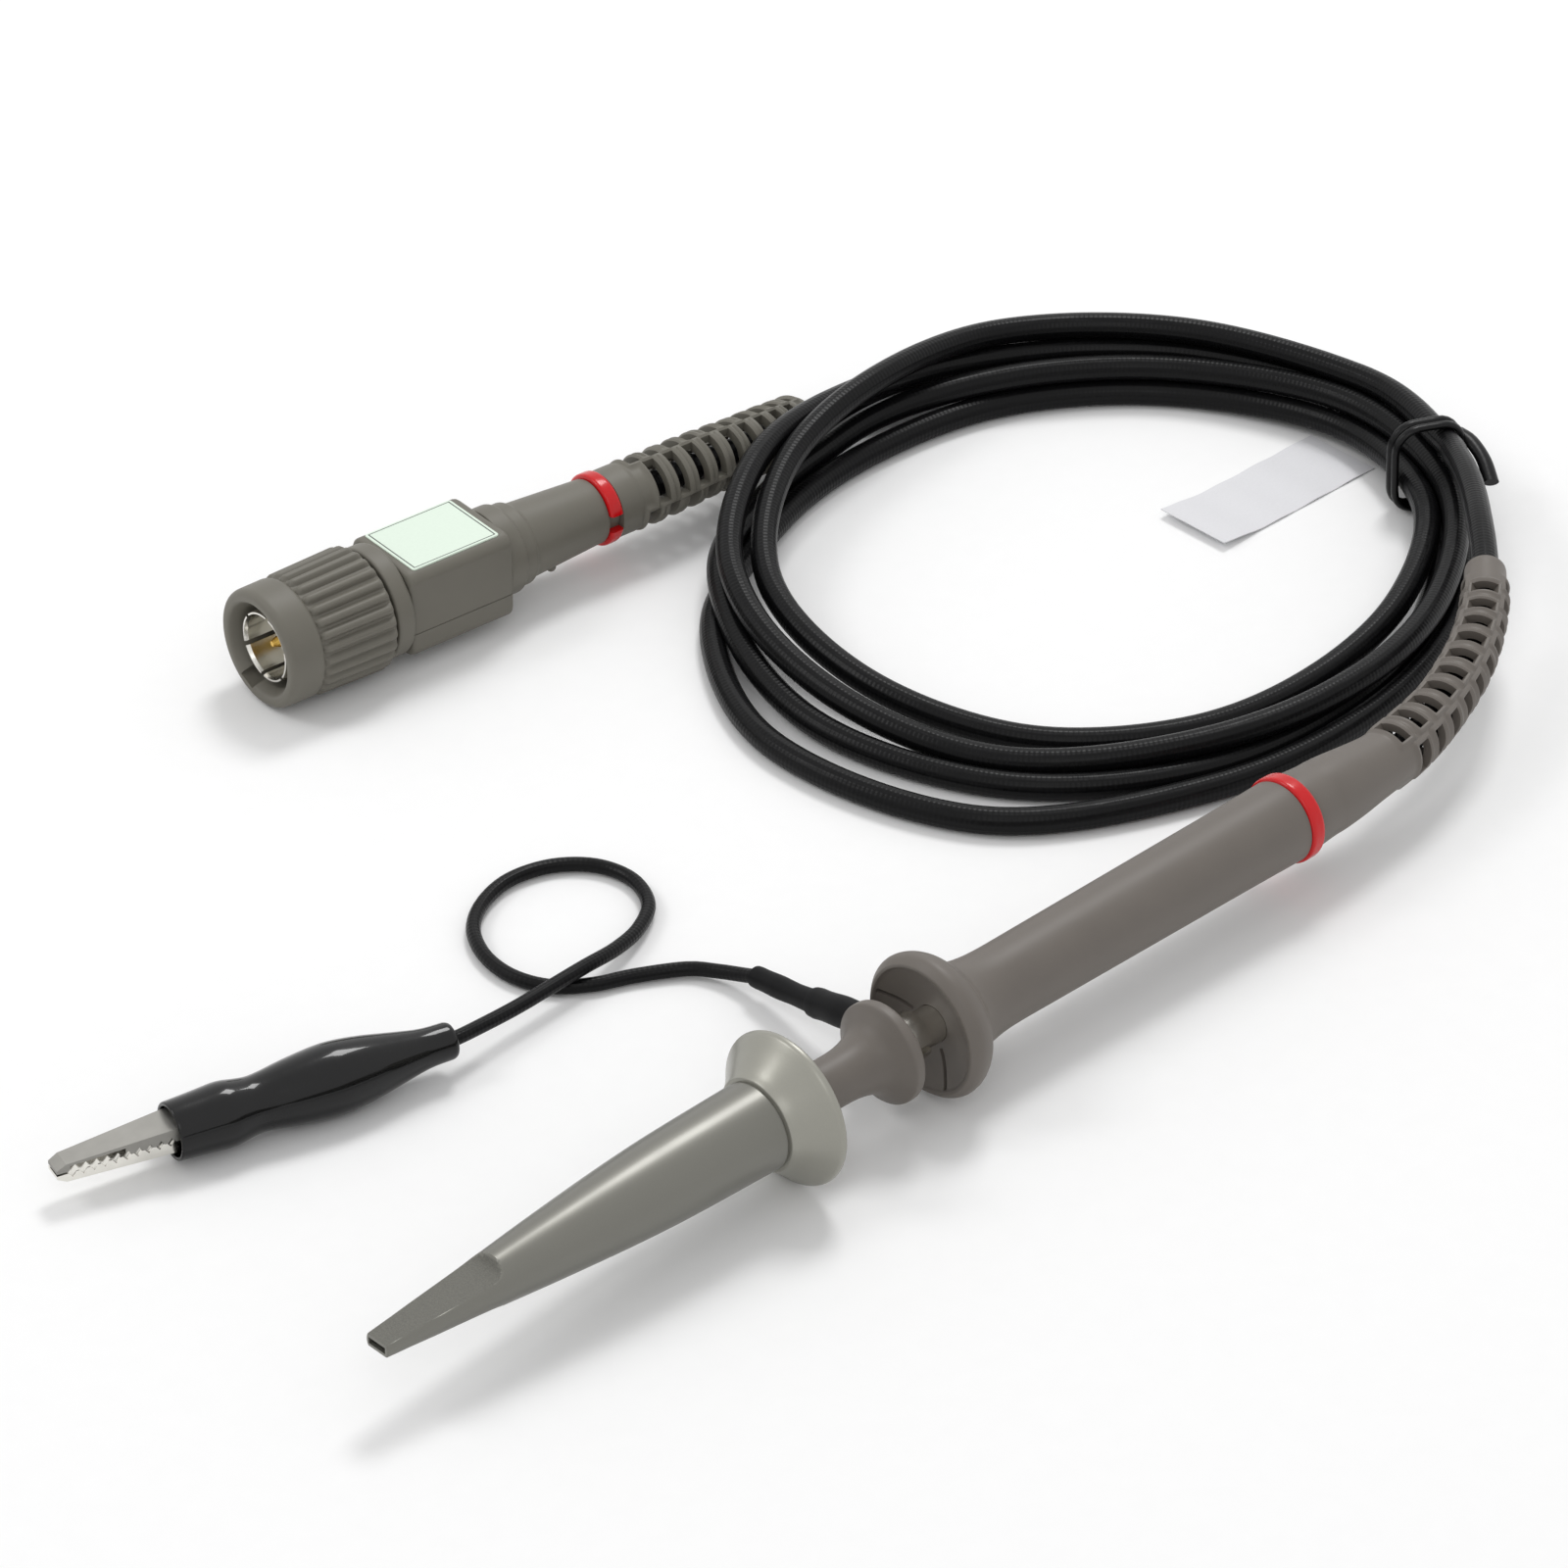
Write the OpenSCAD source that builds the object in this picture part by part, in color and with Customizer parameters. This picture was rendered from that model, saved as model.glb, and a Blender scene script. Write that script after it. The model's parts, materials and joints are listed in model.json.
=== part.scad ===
// Passive oscilloscope probe with a 1X/10X switch, a spring hook tip, a ground lead with a
// crocodile clip, a coiled cable and a compensation box with a BNC plug.
// Units are millimetres. +Z is up and the probe lies on the plane z = 0.
// The probe head's axis runs along X: the hook tip points to -X and the cable leaves to +X.

/* [Probe head] */
// Height of the head's axis above the table, which is also the radius of the large finger collar
axis_z = 8.3; // [7.8:0.1:9.2]
// Length of the handle from the face of its flange to the red ring
handle_length = 52.2; // [48:0.1:62]
// Radius of the handle's grip just behind the flange
handle_r = 4.2; // [4:0.05:4.6]
// Radius of the handle's flange
flange_r = 7.9; // [6.8:0.1:7.9]
// Thickness of the handle's flange
flange_thickness = 4; // [3:0.1:5]
// Width of the red ring
ring_width = 1.9; // [1.5:0.1:2.4]

/* [Hook tip] */
// Length of the hook tip from the rim of its large collar to its end
hook_length = 53; // [48:0.1:62]
// Radius of the outer sleeve where it meets the collar
sleeve_r = 4.7; // [4.3:0.05:5.4]
// Radius of the small finger disc
disc_r = 5.5; // [4.5:0.1:6.4]
// How far the outer sleeve draws back
hook_travel = 7; // [5:0.5:8]

/* [Range switch] */
// Travel of the 1X/10X slider
switch_travel = 2.5; // [1.5:0.1:2.8]

/* [Cable] */
// Diameter of the main cable
cable_d = 3; // [2.6:0.05:3.1]
// Radius of the open middle of the coil
coil_inner_r = 34.8; // [32:0.1:36]
// Radius of the outside of the coil
coil_outer_r = 45.6; // [44.6:0.1:45.8]
// Height of the turns where they lie on each other
coil_h = 8.2; // [6:0.1:9]

/* [Crocodile clip] */
// Distance from the hinge to the end of the jaws
jaw_length = 21.5; // [18:0.1:26]

/* [Compensation box] */
// Length of the box along the cable
box_length = 13.8; // [12.6:0.1:16]
// Width of the box
box_width = 11.1; // [10.6:0.1:12.6]
// Height of the box
box_height = 10.6; // [10:0.1:12]
// Radius of the bayonet sleeve over its front ring
bnc_r = 6.9; // [6.6:0.05:7]
// Number of grip ribs on the bayonet sleeve
rib_count = 28; // [20:2:32]

/* [Hidden] */
$fn = 48;
// stations of the head along X
flange_x = 8.4;
ring_x = flange_x + handle_length;
head_end_x = ring_x + ring_width;
disc_x = 2.7;
collar_x = -9.5;
tip_x = collar_x - hook_length;
collar_r = axis_z;
barrel_r = 2;
neck_r = 2.7;
// spring seat on the hook barrel and in the sleeve
seat_x = -18;
shoulder_x = -32.5;
thin_r = 1.9;
socket_end_x = -35;
hook_wire_r = 0.3;
bore_end_x = socket_end_x - hook_travel - 0.6;
hook_bend_x = tip_x + 1.9;
// range switch
switch_x = 22;
slider_length = 4;
// relief of the handle
cone_length = 9.5;
cone_end_r = 3.35;
bend_x = head_end_x + cone_length;
bend_r = 54;
bend_angle = 44;
bend_tilt = 8;
// the compensation box stands in its own frame: +X runs to the cable, the axis is at height box_z
box_x = 22.8;
box_y = 97.7;
box_z = 7.1;
box_turn = -5;
tail_length = 14.6;
tail_x = box_length + tail_length;
relief_x = tail_x + 1.8;
comp_bend_x = relief_x + 5.8;
comp_bend_r = 65;
comp_bend_angle = 22.5;
comp_bend_tilt = -37.6;
parting_z = -2.2;
finger_r = 4.1;
gasket_x = -9.4;
gasket_r = 4.5;
// the crocodile clip's own frame: +X runs to the jaws, the boot lies on the table
clip_x = -22;
clip_y = 35.5;
clip_z = 3.75;
clip_turn = 165.5;
hinge_x = 22;
// coil
coil_x = 90;
coil_y = 54;
// the loose turns spread out on the side of the box and draw in beside the handle's relief
coil_bulge = 8.8;
bulge_at = 195;
coil_waist = 4.6;
waist_at = -67;
tie_at = -22;
tie_t = 0.8;
tie_h = 9.9;
flag_w = 9.8;
// middle lines of the free cords, in the frame of the whole part
probe_cable_path = [[64, 0, 8.3], [68, 0, 8.3], [72, 0, 8.3], [77.2, 0.2, 8.3], [82.3, 1, 8.4],
    [87.3, 2.2, 8.6], [92.2, 3.9, 8.9], [96.9, 6, 9.2], [101.4, 8.6, 9.5], [105.6, 11.6, 9.9],
    [109.5, 15, 10.4], [113.2, 18.6, 10.7], [116.8, 22.4, 10.7], [120.3, 26.2, 10.3],
    [123.6, 30.2, 9.8], [126.6, 34.4, 9], [129.2, 38.9, 8.2]];
comp_cable_path = [[36, 96.5, 7.1], [44, 95.8, 7.1], [52, 95.1, 7.1], [58.7, 94.5, 7.1],
    [62.9, 94.3, 7], [67.1, 94.3, 6.8], [71.4, 94.4, 6.3], [75.6, 94.8, 5.7], [79.7, 95.5, 5],
    [83.8, 96.3, 4.1], [88, 96.7, 3.2], [92, 96.3, 2.4]];
lead_path = [[8.3, 22.6, 2.7], [8.2, 25, 2], [7.4, 28, 1.3], [5.6, 30.9, 1], [1, 33.8, 0.9],
    [-3, 35.6, 0.9], [-6.4, 38.4, 0.9], [-8, 42.5, 0.9], [-7.6, 47, 0.9], [-5.4, 51.2, 0.9],
    [-1.6, 54, 0.9], [3.2, 55.2, 0.9], [8, 54, 0.9], [11.4, 50.8, 0.9], [12.4, 46.4, 0.9],
    [10.6, 42, 0.95], [6.6, 39.2, 1.2], [2, 37.6, 1.8], [-3, 36.7, 2.6], [-8, 36.3, 2.8],
    [-13, 36, 2.9], [-18, 35.7, 3.3], [-22, 35.5, 3.75], [-24.9, 36.25, 3.75],
    [-28.8, 37.25, 3.75]];
boot_start = [6.4, 3.1, 7.9];
boot_middle = [7.4, 14.6, 4.6];
boot_end = [8.3, 23.4, 2.6];

// A point at station x on the head's axis, with +Z turned to run along the head
module at_head(x) {
    translate([x, 0, axis_z]) rotate([0, 90, 0]) children();
}

// The frame of the compensation box
module at_box() {
    translate([box_x, box_y, box_z]) rotate([0, 0, box_turn]) children();
}

// A station on the axis of the box, with +Z turned to run along it
module on_box(x) {
    at_box() translate([x, 0, 0]) rotate([0, 90, 0]) children();
}

// The frame of the crocodile clip
module at_clip() {
    translate([clip_x, clip_y, clip_z]) rotate([0, 0, clip_turn]) children();
}

// A block given by its two opposite corners
module block(a, b) {
    translate(a) cube(b - a);
}

// A tube along Z
module tube(r_out, r_in, length) {
    difference() {
        cylinder(r = r_out, h = length);
        translate([0, 0, -1]) cylinder(r = r_in, h = length + 2);
    }
}

// A round rod from one point to another
module rod(a, b, r) {
    d = b - a;
    long = norm(d);
    translate(a) rotate([0, acos(d[2] / long), atan2(d[1], d[0])]) cylinder(r = r, h = long);
}

// A rounded oblong along Z made of two blocks and four corner rounds
module rounded_bar(w, d, r, length) {
    linear_extrude(length) union() {
        square([w - 2 * r, d], center = true);
        square([w, d - 2 * r], center = true);
        for (i = [-1, 1], j = [-1, 1])
            translate([i * (w / 2 - r), j * (d / 2 - r)]) circle(r = r);
    }
}

// A bent tube with its middle line in the XY plane, starting at the origin along +X and turning to +Y
module bent_tube(radius, from_angle, to_angle, r_out, r_in) {
    translate([0, radius, 0]) rotate([0, 0, from_angle - 90])
        rotate_extrude(angle = to_angle - from_angle) translate([radius, 0]) difference() {
            circle(r = r_out);
            circle(r = r_in);
        }
}

// Windows cut across a bent tube, two opposite rows in one plane and two staggered rows across it
module bent_windows(radius, first, last, step, width, size) {
    for (a = [first : step : last]) {
        translate([radius * sin(a), radius * (1 - cos(a)), 0]) rotate([0, 0, a])
            block([-width / 2, -size * 0.42, -size * 2], [width / 2, size * 0.42, size * 2]);
        b = a + step / 2;
        translate([radius * sin(b), radius * (1 - cos(b)), 0]) rotate([0, 0, b])
            block([-width / 2, -size * 2, -size * 0.42], [width / 2, size * 2, size * 0.42]);
    }
}

// Rings of points round a path, for one closed round tube
function unit(v) = v / norm(v);
function way(p, i) = unit(p[min(i + 1, len(p) - 1)] - p[max(i - 1, 0)]);
function side(d) = unit(cross([0, 0, 1], d));
function ring_points(p, i, r, n) =
    let (d = way(p, i), s = side(d), u = cross(d, s))
    [for (k = [0 : n - 1]) p[i] + r * (cos(360 * k / n) * s + sin(360 * k / n) * u)];

module swept_cord(path, r, n) {
    rings = len(path);
    points = [for (i = [0 : rings - 1]) each ring_points(path, i, r, n)];
    ends = [[for (k = [n - 1 : -1 : 0]) k], [for (k = [0 : n - 1]) (rings - 1) * n + k]];
    sides = [for (i = [0 : rings - 2], k = [0 : n - 1]) each
        [[i * n + k, i * n + (k + 1) % n, (i + 1) * n + (k + 1) % n],
         [i * n + k, (i + 1) * n + (k + 1) % n, (i + 1) * n + k]]];
    polyhedron(points = points, faces = [for (f = concat(ends, sides)) [for (q = [len(f) - 1 : -1 : 0]) f[q]]]);
}

// The handle is one moulded tube: dished flange, grip and the seat of the red ring
module handle() {
    color("#6e6760") difference() {
        at_head(flange_x) rotate_extrude() polygon([
            [barrel_r + 0.02, 1.1], [4.2, 0.9], [6.6, 0.5], [7, 0], [flange_r - 0.4, 0],
            [flange_r, 0.4], [flange_r, flange_thickness - 0.5], [flange_r - 0.5, flange_thickness],
            [handle_r + 1.4, flange_thickness + 0.6], [handle_r + 0.4, flange_thickness + 2],
            [handle_r, flange_thickness + 5], [handle_r + 0.25, handle_length - 7],
            [handle_r + 0.35, handle_length], [3.9, handle_length],
            [3.9, handle_length + ring_width], [3, handle_length + ring_width], [3, 4],
            [barrel_r + 0.02, 4]]);
        // window of the range slider, on the side away from the flange's clip
        block([switch_x - 0.5, 2.5, axis_z - 1.4],
            [switch_x + slider_length + switch_travel + 0.5, 8, axis_z + 1.4]);
        // radial grooves in the face of the flange
        for (a = [35, 155, 275]) at_head(flange_x - 0.2) rotate([0, 0, a])
            block([3.4, -0.35, 0], [flange_r + 1, 0.35, 1.3]);
    }
}

// Needle contact that runs through the nose to the board
module probe_pin() {
    color("#c9b070") at_head(-24) {
        cylinder(r1 = 0.08, r2 = 0.4, h = 2);
        translate([0, 0, 2]) cylinder(r = 0.4, h = 36.5);
    }
}

// Plastic core of the nose with its cone
module nose_insulator() {
    color("#d8d4c8") at_head(-17) rotate_extrude() polygon([
        [0.42, 0], [0.9, 0], [1.9, 9], [1.28, 9], [1.28, 29], [0.42, 29]]);
}

// Ground tube of the nose, held behind the front wall of the handle
module ground_barrel() {
    color("#c8c8c4") at_head(-8) rotate_extrude() polygon([
        [1.3, 0], [barrel_r, 0], [barrel_r, 20.4], [2.7, 20.4], [2.7, 21.4], [1.3, 21.4]]);
}

// Screen inside the handle, open beside the range switch
module shield_tube() {
    color("#b99a55") difference() {
        at_head(13.6) tube(2.95, 2.65, 44);
        block([switch_x - 4, 1, axis_z - 1.9], [switch_x + 10, 4, axis_z + 1.9]);
    }
}

// Board of the 10X network with its resistor and capacitors
module attenuator_board() {
    color("#2f6b45") union() {
        block([14.6, -0.5, axis_z - 2.2], [50, 0.5, axis_z + 2.2]);
        block([34, 0.4, axis_z - 0.9], [40, 1.6, axis_z + 0.9]);
        block([42, 0.4, axis_z - 1.2], [45, 1.3, axis_z + 1.2]);
        block([30, -1.4, axis_z - 1], [36, -0.4, axis_z + 1]);
    }
}

// Body of the slide switch with the channel for the foot of the slider
module switch_body() {
    color("#33363a") difference() {
        block([switch_x - 3.4, 0.5, axis_z - 1.6], [switch_x + 9, 2, axis_z + 1.6]);
        block([switch_x + 0.7, 1, axis_z - 0.8],
            [switch_x + switch_travel + 3.3, 3, axis_z + 0.8]);
    }
}

// Thumb slider with its foot in the switch body
module switch_slider() {
    color("#8b8880") difference() {
        union() {
            block([switch_x, 2.2, axis_z - 1.1], [switch_x + slider_length, 4.7, axis_z + 1.1]);
            block([switch_x + 1, 1.2, axis_z - 0.5], [switch_x + 3, 2.3, axis_z + 0.5]);
        }
        for (i = [0 : 2]) block([switch_x + 0.85 + i, 4.4, axis_z - 2],
            [switch_x + 1.25 + i, 5, axis_z + 2]);
    }
}

// Red ring at the end of the handle
module ring_probe() {
    color("#d71e23") at_head(ring_x) rotate_extrude() polygon([
        [3.9, 0.05], [handle_r + 0.4, 0.05], [handle_r + 0.65, 0.5],
        [handle_r + 0.65, ring_width - 0.5], [handle_r + 0.4, ring_width - 0.05],
        [3.9, ring_width - 0.05]]);
}

// Strain relief of the handle: a cone, then a windowed tube bent to follow the cable
module relief_probe() {
    color("#6e6760") difference() {
        union() {
            at_head(head_end_x) rotate_extrude() polygon([
                [cable_d / 2 + 0.15, 0], [4.2, 0], [4.15, 2.5], [cone_end_r, cone_length],
                [cable_d / 2 + 0.15, cone_length]]);
            translate([bend_x, 0, axis_z]) rotate([bend_tilt, 0, 0]) for (i = [0 : 3])
                bent_tube(bend_r, i * bend_angle / 4 - (i > 0 ? 0.05 : 0),
                    (i + 1) * bend_angle / 4, cone_end_r - 0.3 * i, cable_d / 2 + 0.15);
        }
        at_head(head_end_x - 1) cylinder(r = 2.4, h = 8.5);
        translate([bend_x, 0, axis_z]) rotate([bend_tilt, 0, 0])
            bent_windows(bend_r, 6, 40, 3.5, 1.7, 2.4);
    }
}

// Crimp ferrule on the cable at the handle
module ferrule_probe() {
    color("#c8c8c4") at_head(head_end_x - 3.6) tube(2.3, cable_d / 2 + 0.1, 10);
}

// Inner barrel of the hook tip with the small finger disc
module hook_barrel() {
    color("#6b655e") at_head(0) rotate_extrude() polygon([
        [barrel_r + 0.05, disc_x + 1.2], [disc_r - 0.2, disc_x + 1.2], [disc_r, disc_x + 0.9],
        [disc_r, disc_x], [disc_r - 0.9, disc_x - 0.5], [disc_r - 2, disc_x - 1.7],
        [neck_r + 0.3, disc_x - 3.2], [neck_r, disc_x - 4.6], [neck_r, seat_x], [thin_r, seat_x],
        [thin_r, socket_end_x], [1.2, socket_end_x], [1.2, -17.6], [barrel_r + 0.05, -17.2]]);
}

// Socket that takes the needle and holds the hook wire
module contact_socket() {
    color("#c9b070") at_head(0) rotate_extrude() polygon([
        [0.44, -18.4], [1.2, -18.4], [1.2, -34.4], [0, -34.4], [0, -25], [0.44, -25]]);
}

// Hook wire with its bent end, beside the axis so that the bend is centred in the slot
module hook_wire() {
    color("#c8c8c4") union() {
        at_head(hook_bend_x) translate([0, -0.45, 0])
            cylinder(r = hook_wire_r, h = -34.4 - hook_bend_x);
        translate([hook_bend_x, 0, axis_z]) rotate([0, 0, 90]) rotate_extrude(angle = 180)
            translate([0.45, 0]) circle(r = hook_wire_r);
        at_head(hook_bend_x) translate([0, 0.45, 0]) cylinder(r = hook_wire_r, h = 1.1);
    }
}

// Compression spring between the barrel and the sleeve, as eight closed turns and their link
module hook_spring() {
    color("#b8b8b4") union() {
        for (i = [0 : 7]) at_head(shoulder_x + 0.3 + i * 1.98)
            rotate_extrude() translate([2.3, 0]) circle(r = 0.26);
        at_head(shoulder_x + 0.3) translate([-2.3, 0, 0]) cylinder(r = 0.2, h = 7 * 1.98);
    }
}

// Outer sleeve of the hook tip with the large finger collar and the flat slotted end
module hook_sleeve() {
    color("#8c8c82") difference() {
        at_head(0) rotate_extrude() polygon([
            [neck_r + 0.06, -11.4], [4.6, -11.3], [6.2, -10.5], [7.6, collar_x],
            [collar_r - 0.15, collar_x], [collar_r, collar_x - 0.2], [collar_r, collar_x - 0.7],
            [6.9, -11.5], [5.7, -12.6], [sleeve_r + 0.15, -13.8], [sleeve_r, -15.5],
            [sleeve_r - 0.2, -26], [sleeve_r - 0.6, -33], [3.3, -42.5], [2.65, -49],
            [1.65, tip_x], [0, tip_x], [0, tip_x + 8], [0.95, tip_x + 8], [0.95, bore_end_x],
            [thin_r + 0.06, bore_end_x], [thin_r + 0.06, shoulder_x],
            [neck_r + 0.06, shoulder_x]]);
        // flats above and below the end, with a round scoop behind each
        for (m = [0, 1]) translate([0, 0, axis_z]) mirror([0, 0, m]) {
            rotate([90, 0, 0]) linear_extrude(12, center = true) polygon([
                [tip_x - 1, 0.65], [-49.6, 1.45], [-48.8, 1.75], [-48.3, 2.3], [-48.1, 4],
                [tip_x - 1, 4]]);
        }
        // slot for the hook
        block([tip_x - 1, -1.15, axis_z - 0.36], [tip_x + 8.5, 1.15, axis_z + 0.36]);
        // small moulding hole under the sleeve
        translate([-18.2, 0, axis_z - 6]) cylinder(r = 0.35, h = 3.2);
    }
}

// Ring clip of the ground lead on the ground barrel, with its ear
module ground_clip() {
    color("#d0d0cc") difference() {
        union() {
            at_head(5.3) tube(2.6, barrel_r + 0.02, 2.2);
            block([5.5, 2.2, axis_z - 1], [7.3, 3.4, axis_z + 1]);
        }
        at_head(5) cylinder(r = barrel_r + 0.02, h = 3);
        // split of the ring
        block([4, -4, axis_z - 0.4], [9, -1, axis_z + 0.4]);
    }
}

module lead_boot_thick() {
    color("#1b1b1c") rod(boot_start + [0, 0.3, 0], boot_middle, 1.4);
}

module lead_boot_thin() {
    color("#222223") rod(boot_middle, boot_end, 1.05);
}

module ground_cord() {
    color("#161617") swept_cord(lead_path, 0.78, 8);
}

// Soft boot over the back of the crocodile clip
module clip_boot() {
    color("#101011") at_clip() rotate([0, 90, 0]) rotate_extrude() polygon([
        [0.9, 0], [1.7, 0], [1.95, 0.4], [2, 3], [2.6, 6], [3.3, 9.5], [3.75, 12.5],
        [3.75, 14.5], [3.4, 18], [3, 20.5], [2.9, 22], [3.1, 23.4], [3.4, 25], [3.2, 28],
        [3.05, 31], [2.6, 31], [2.75, 28], [2.95, 25], [2.6, 22], [2.75, 20], [3.1, 17],
        [3.3, 14.5], [3.3, 12.5], [2.9, 9.5], [2.2, 6], [1.5, 4.2], [0.9, 4.2]]);
}

// Side outline of one jaw and its tail, drawn in the XZ plane of the clip's frame. The moving
// jaw has the shorter tail, which leaves it room to open
module jaw_outline(tail) {
    // the jaw's own teeth are cut from its lower edge
    tooth = 1.15;
    teeth = floor((jaw_length - 9.6) / tooth);
    difference() {
        polygon([[hinge_x - tail, 1.55], [hinge_x - tail, 2.05], [hinge_x - 4, 2.15],
            [hinge_x + 2, 1.65], [hinge_x + 9, 1.6], [hinge_x + jaw_length - 1, 1.05],
            [hinge_x + jaw_length, 0.5], [hinge_x + jaw_length, 0.12], [hinge_x + 8, 0.12],
            [hinge_x + 2, 0.12], [hinge_x + 1.6, -1], [hinge_x - 1.6, -1], [hinge_x - 2.6, 0.6]]);
        for (i = [1 : teeth]) translate([hinge_x + 8.4 + i * tooth, 0.06])
            polygon([[-0.55, -0.1], [0, 0.6], [0.55, -0.1]]);
    }
}

// One folded jaw: a channel whose side walls carry the teeth, with a plain tail
module folded_jaw(half_width, tail) {
    difference() {
        intersection() {
            rotate([90, 0, 0]) linear_extrude(half_width * 2, center = true) jaw_outline(tail);
            translate([0, 0, -5]) linear_extrude(10) polygon([
                [hinge_x - 14, -1.2], [hinge_x - 4, -half_width], [hinge_x + 8, -half_width],
                [hinge_x + jaw_length, -1.05], [hinge_x + jaw_length, 1.05],
                [hinge_x + 8, half_width], [hinge_x - 4, half_width], [hinge_x - 14, 1.2]]);
        }
        // the channel between the walls
        rotate([90, 0, 0]) linear_extrude(half_width * 2 - 0.8, center = true) polygon([
            [hinge_x - 14, 1.2], [hinge_x - 13.5, 1.6], [hinge_x - 4, 1.75], [hinge_x + 2, 1.25],
            [hinge_x + 9, 1.2], [hinge_x + jaw_length - 1.4, 0.75],
            [hinge_x + jaw_length - 1.2, -3], [hinge_x - 14, -3]]);
        // hole for the hinge rivet
        translate([hinge_x, 0, 0]) rotate([90, 0, 0]) cylinder(r = 0.53, h = 10, center = true);
    }
}

module clip_upper_jaw() {
    color("#c9c9c2") at_clip() folded_jaw(1.9, 10.8);
}

// Fixed jaw with the crimp that holds the wire
module clip_lower_jaw() {
    color("#c9c9c2") at_clip() union() {
        mirror([0, 0, 1]) folded_jaw(1.4, 13);
        // crimp, on a strap from the tail
        block([5.6, -0.7, -1.75], [hinge_x - 11, 0.7, -1.2]);
        translate([4.6, 0, 0]) rotate([0, 90, 0]) tube(1.3, 0.8, 3);
    }
}

module clip_pin() {
    color("#b8b8b4") at_clip() translate([hinge_x, 0, 0]) rotate([90, 0, 0]) {
        cylinder(r = 0.5, h = 4.4, center = true);
        for (m = [-1, 1]) translate([0, 0, m * 2.08]) cylinder(r = 0.75, h = 0.3, center = true);
    }
}

// Torsion spring round the rivet with one leg under each tail
module clip_spring() {
    color("#a8a8a4") at_clip() union() {
        for (i = [-1 : 1]) translate([hinge_x, i * 0.5, 0]) rotate([90, 0, 0])
            rotate_extrude() translate([0.85, 0]) circle(r = 0.24);
        rod([hinge_x - 0.3, 0.5, 0.8], [hinge_x - 8.6, 0.5, 1.3], 0.22);
        rod([hinge_x - 0.3, -0.5, -0.8], [hinge_x - 8.6, -0.5, -1.3], 0.22);
        translate([hinge_x, 0, 0]) rotate([90, 0, 0]) translate([0.85, 0, 0])
            cylinder(r = 0.2, h = 1, center = true);
    }
}

// Cable from the handle's ferrule through the strain relief to the coil
module cable_lead_probe() {
    color("#141415") swept_cord(probe_cable_path, cable_d / 2, 8);
}

// Cable from the coil to the compensation box
module cable_lead_comp() {
    color("#141415") swept_cord(comp_cable_path, cable_d / 2, 8);
}

// Inner and outer outline of the turns, as the radius at an angle
function coil_in(t) = coil_inner_r - 2 * cos(2 * (t - 98)) + 3.6 * pow(max(0, cos(t + 10)), 8);
function coil_out(t) = coil_outer_r + coil_bulge * pow(max(0, cos(t - bulge_at)), 5)
    - coil_waist * pow(max(0, cos(t - waist_at)), 12);

// The loose turns of the cable as one closed ring, open where the relief of the box ends in it
module cable_coil() {
    step = 5;
    color("#141415") difference() {
        translate([coil_x, coil_y, 0]) linear_extrude(coil_h) difference() {
            polygon([for (t = [0 : step : 360 - step]) coil_out(t) * [cos(t), sin(t)]]);
            polygon([for (t = [0 : step : 360 - step]) coil_in(t) * [cos(t), sin(t)]]);
        }
        block([60, 90.6, -1], [84.4, 104, coil_h + 1]);
    }
}

// Two wraps of the wire tie over the turns, open underneath, and its twisted tail
module wire_tie() {
    inner = coil_in(tie_at) - 0.1;
    outer = coil_out(tie_at) + 0.1;
    color("#101011") translate([coil_x, coil_y, 0]) rotate([0, 0, tie_at]) union() {
        for (y = [-0.55, 0.55]) translate([0, y, 0]) rotate([90, 0, 0])
            linear_extrude(tie_t, center = true) polygon([
                [inner - tie_t, 0.05], [inner, 0.05], [inner, tie_h], [outer, tie_h],
                [outer, 0.05], [outer + tie_t, 0.05], [outer + tie_t, tie_h - 0.4],
                [outer - 0.4, tie_h + tie_t], [inner + 0.4, tie_h + tie_t],
                [inner - tie_t, tie_h - 0.4]]);
        block([outer, -0.3, 2], [outer + tie_t, 0.3, 3.2]);
        rod([outer + 0.6, -0.4, 3], [outer + 0.2, -8, 1.2], 0.6);
    }
}

// Paper flag whose other end is wrapped on a turn of the cable
module label_flag() {
    color("#dedee0") block([104.3, 53.3 - flag_w / 2, 0], [coil_x + coil_in(0) - 0.6, 53.3 + flag_w / 2, 0.2]);
}

// Strain relief of the compensation box
module relief_comp() {
    color("#73706a") at_box() difference() {
        union() {
            translate([relief_x, 0, 0]) rotate([0, 90, 0]) rotate_extrude() polygon([
                [cable_d / 2 + 0.15, 0], [4, 0], [4, 2.8], [3.85, 3.1],
                [3.8, comp_bend_x - relief_x], [cable_d / 2 + 0.15, comp_bend_x - relief_x]]);
            translate([comp_bend_x, 0, 0]) rotate([comp_bend_tilt, 0, 0]) for (i = [0 : 2])
                bent_tube(comp_bend_r, i * comp_bend_angle / 3 - (i > 0 ? 0.05 : 0),
                    (i + 1) * comp_bend_angle / 3, 3.75 - 0.25 * i, cable_d / 2 + 0.15);
        }
        translate([comp_bend_x, 0, 0]) rotate([comp_bend_tilt, 0, 0])
            bent_windows(comp_bend_r, -1, 19, 2.9, 1.8, 3.3);
    }
}

// Red ring of the compensation box, split on one side
module ring_comp() {
    color("#d71e23") difference() {
        on_box(tail_x) rotate_extrude() polygon([
            [3.2, 0.05], [4, 0.05], [4.25, 0.5], [4.25, 1.3], [4, 1.75], [3.2, 1.75]]);
        at_box() block([tail_x - 1, -6, -1], [tail_x + 3, 0, 1]);
    }
}

module ferrule_comp() {
    color("#c8c8c4") on_box(box_length + 1.4) tube(2.3, cable_d / 2 + 0.1, 9);
}

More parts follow.
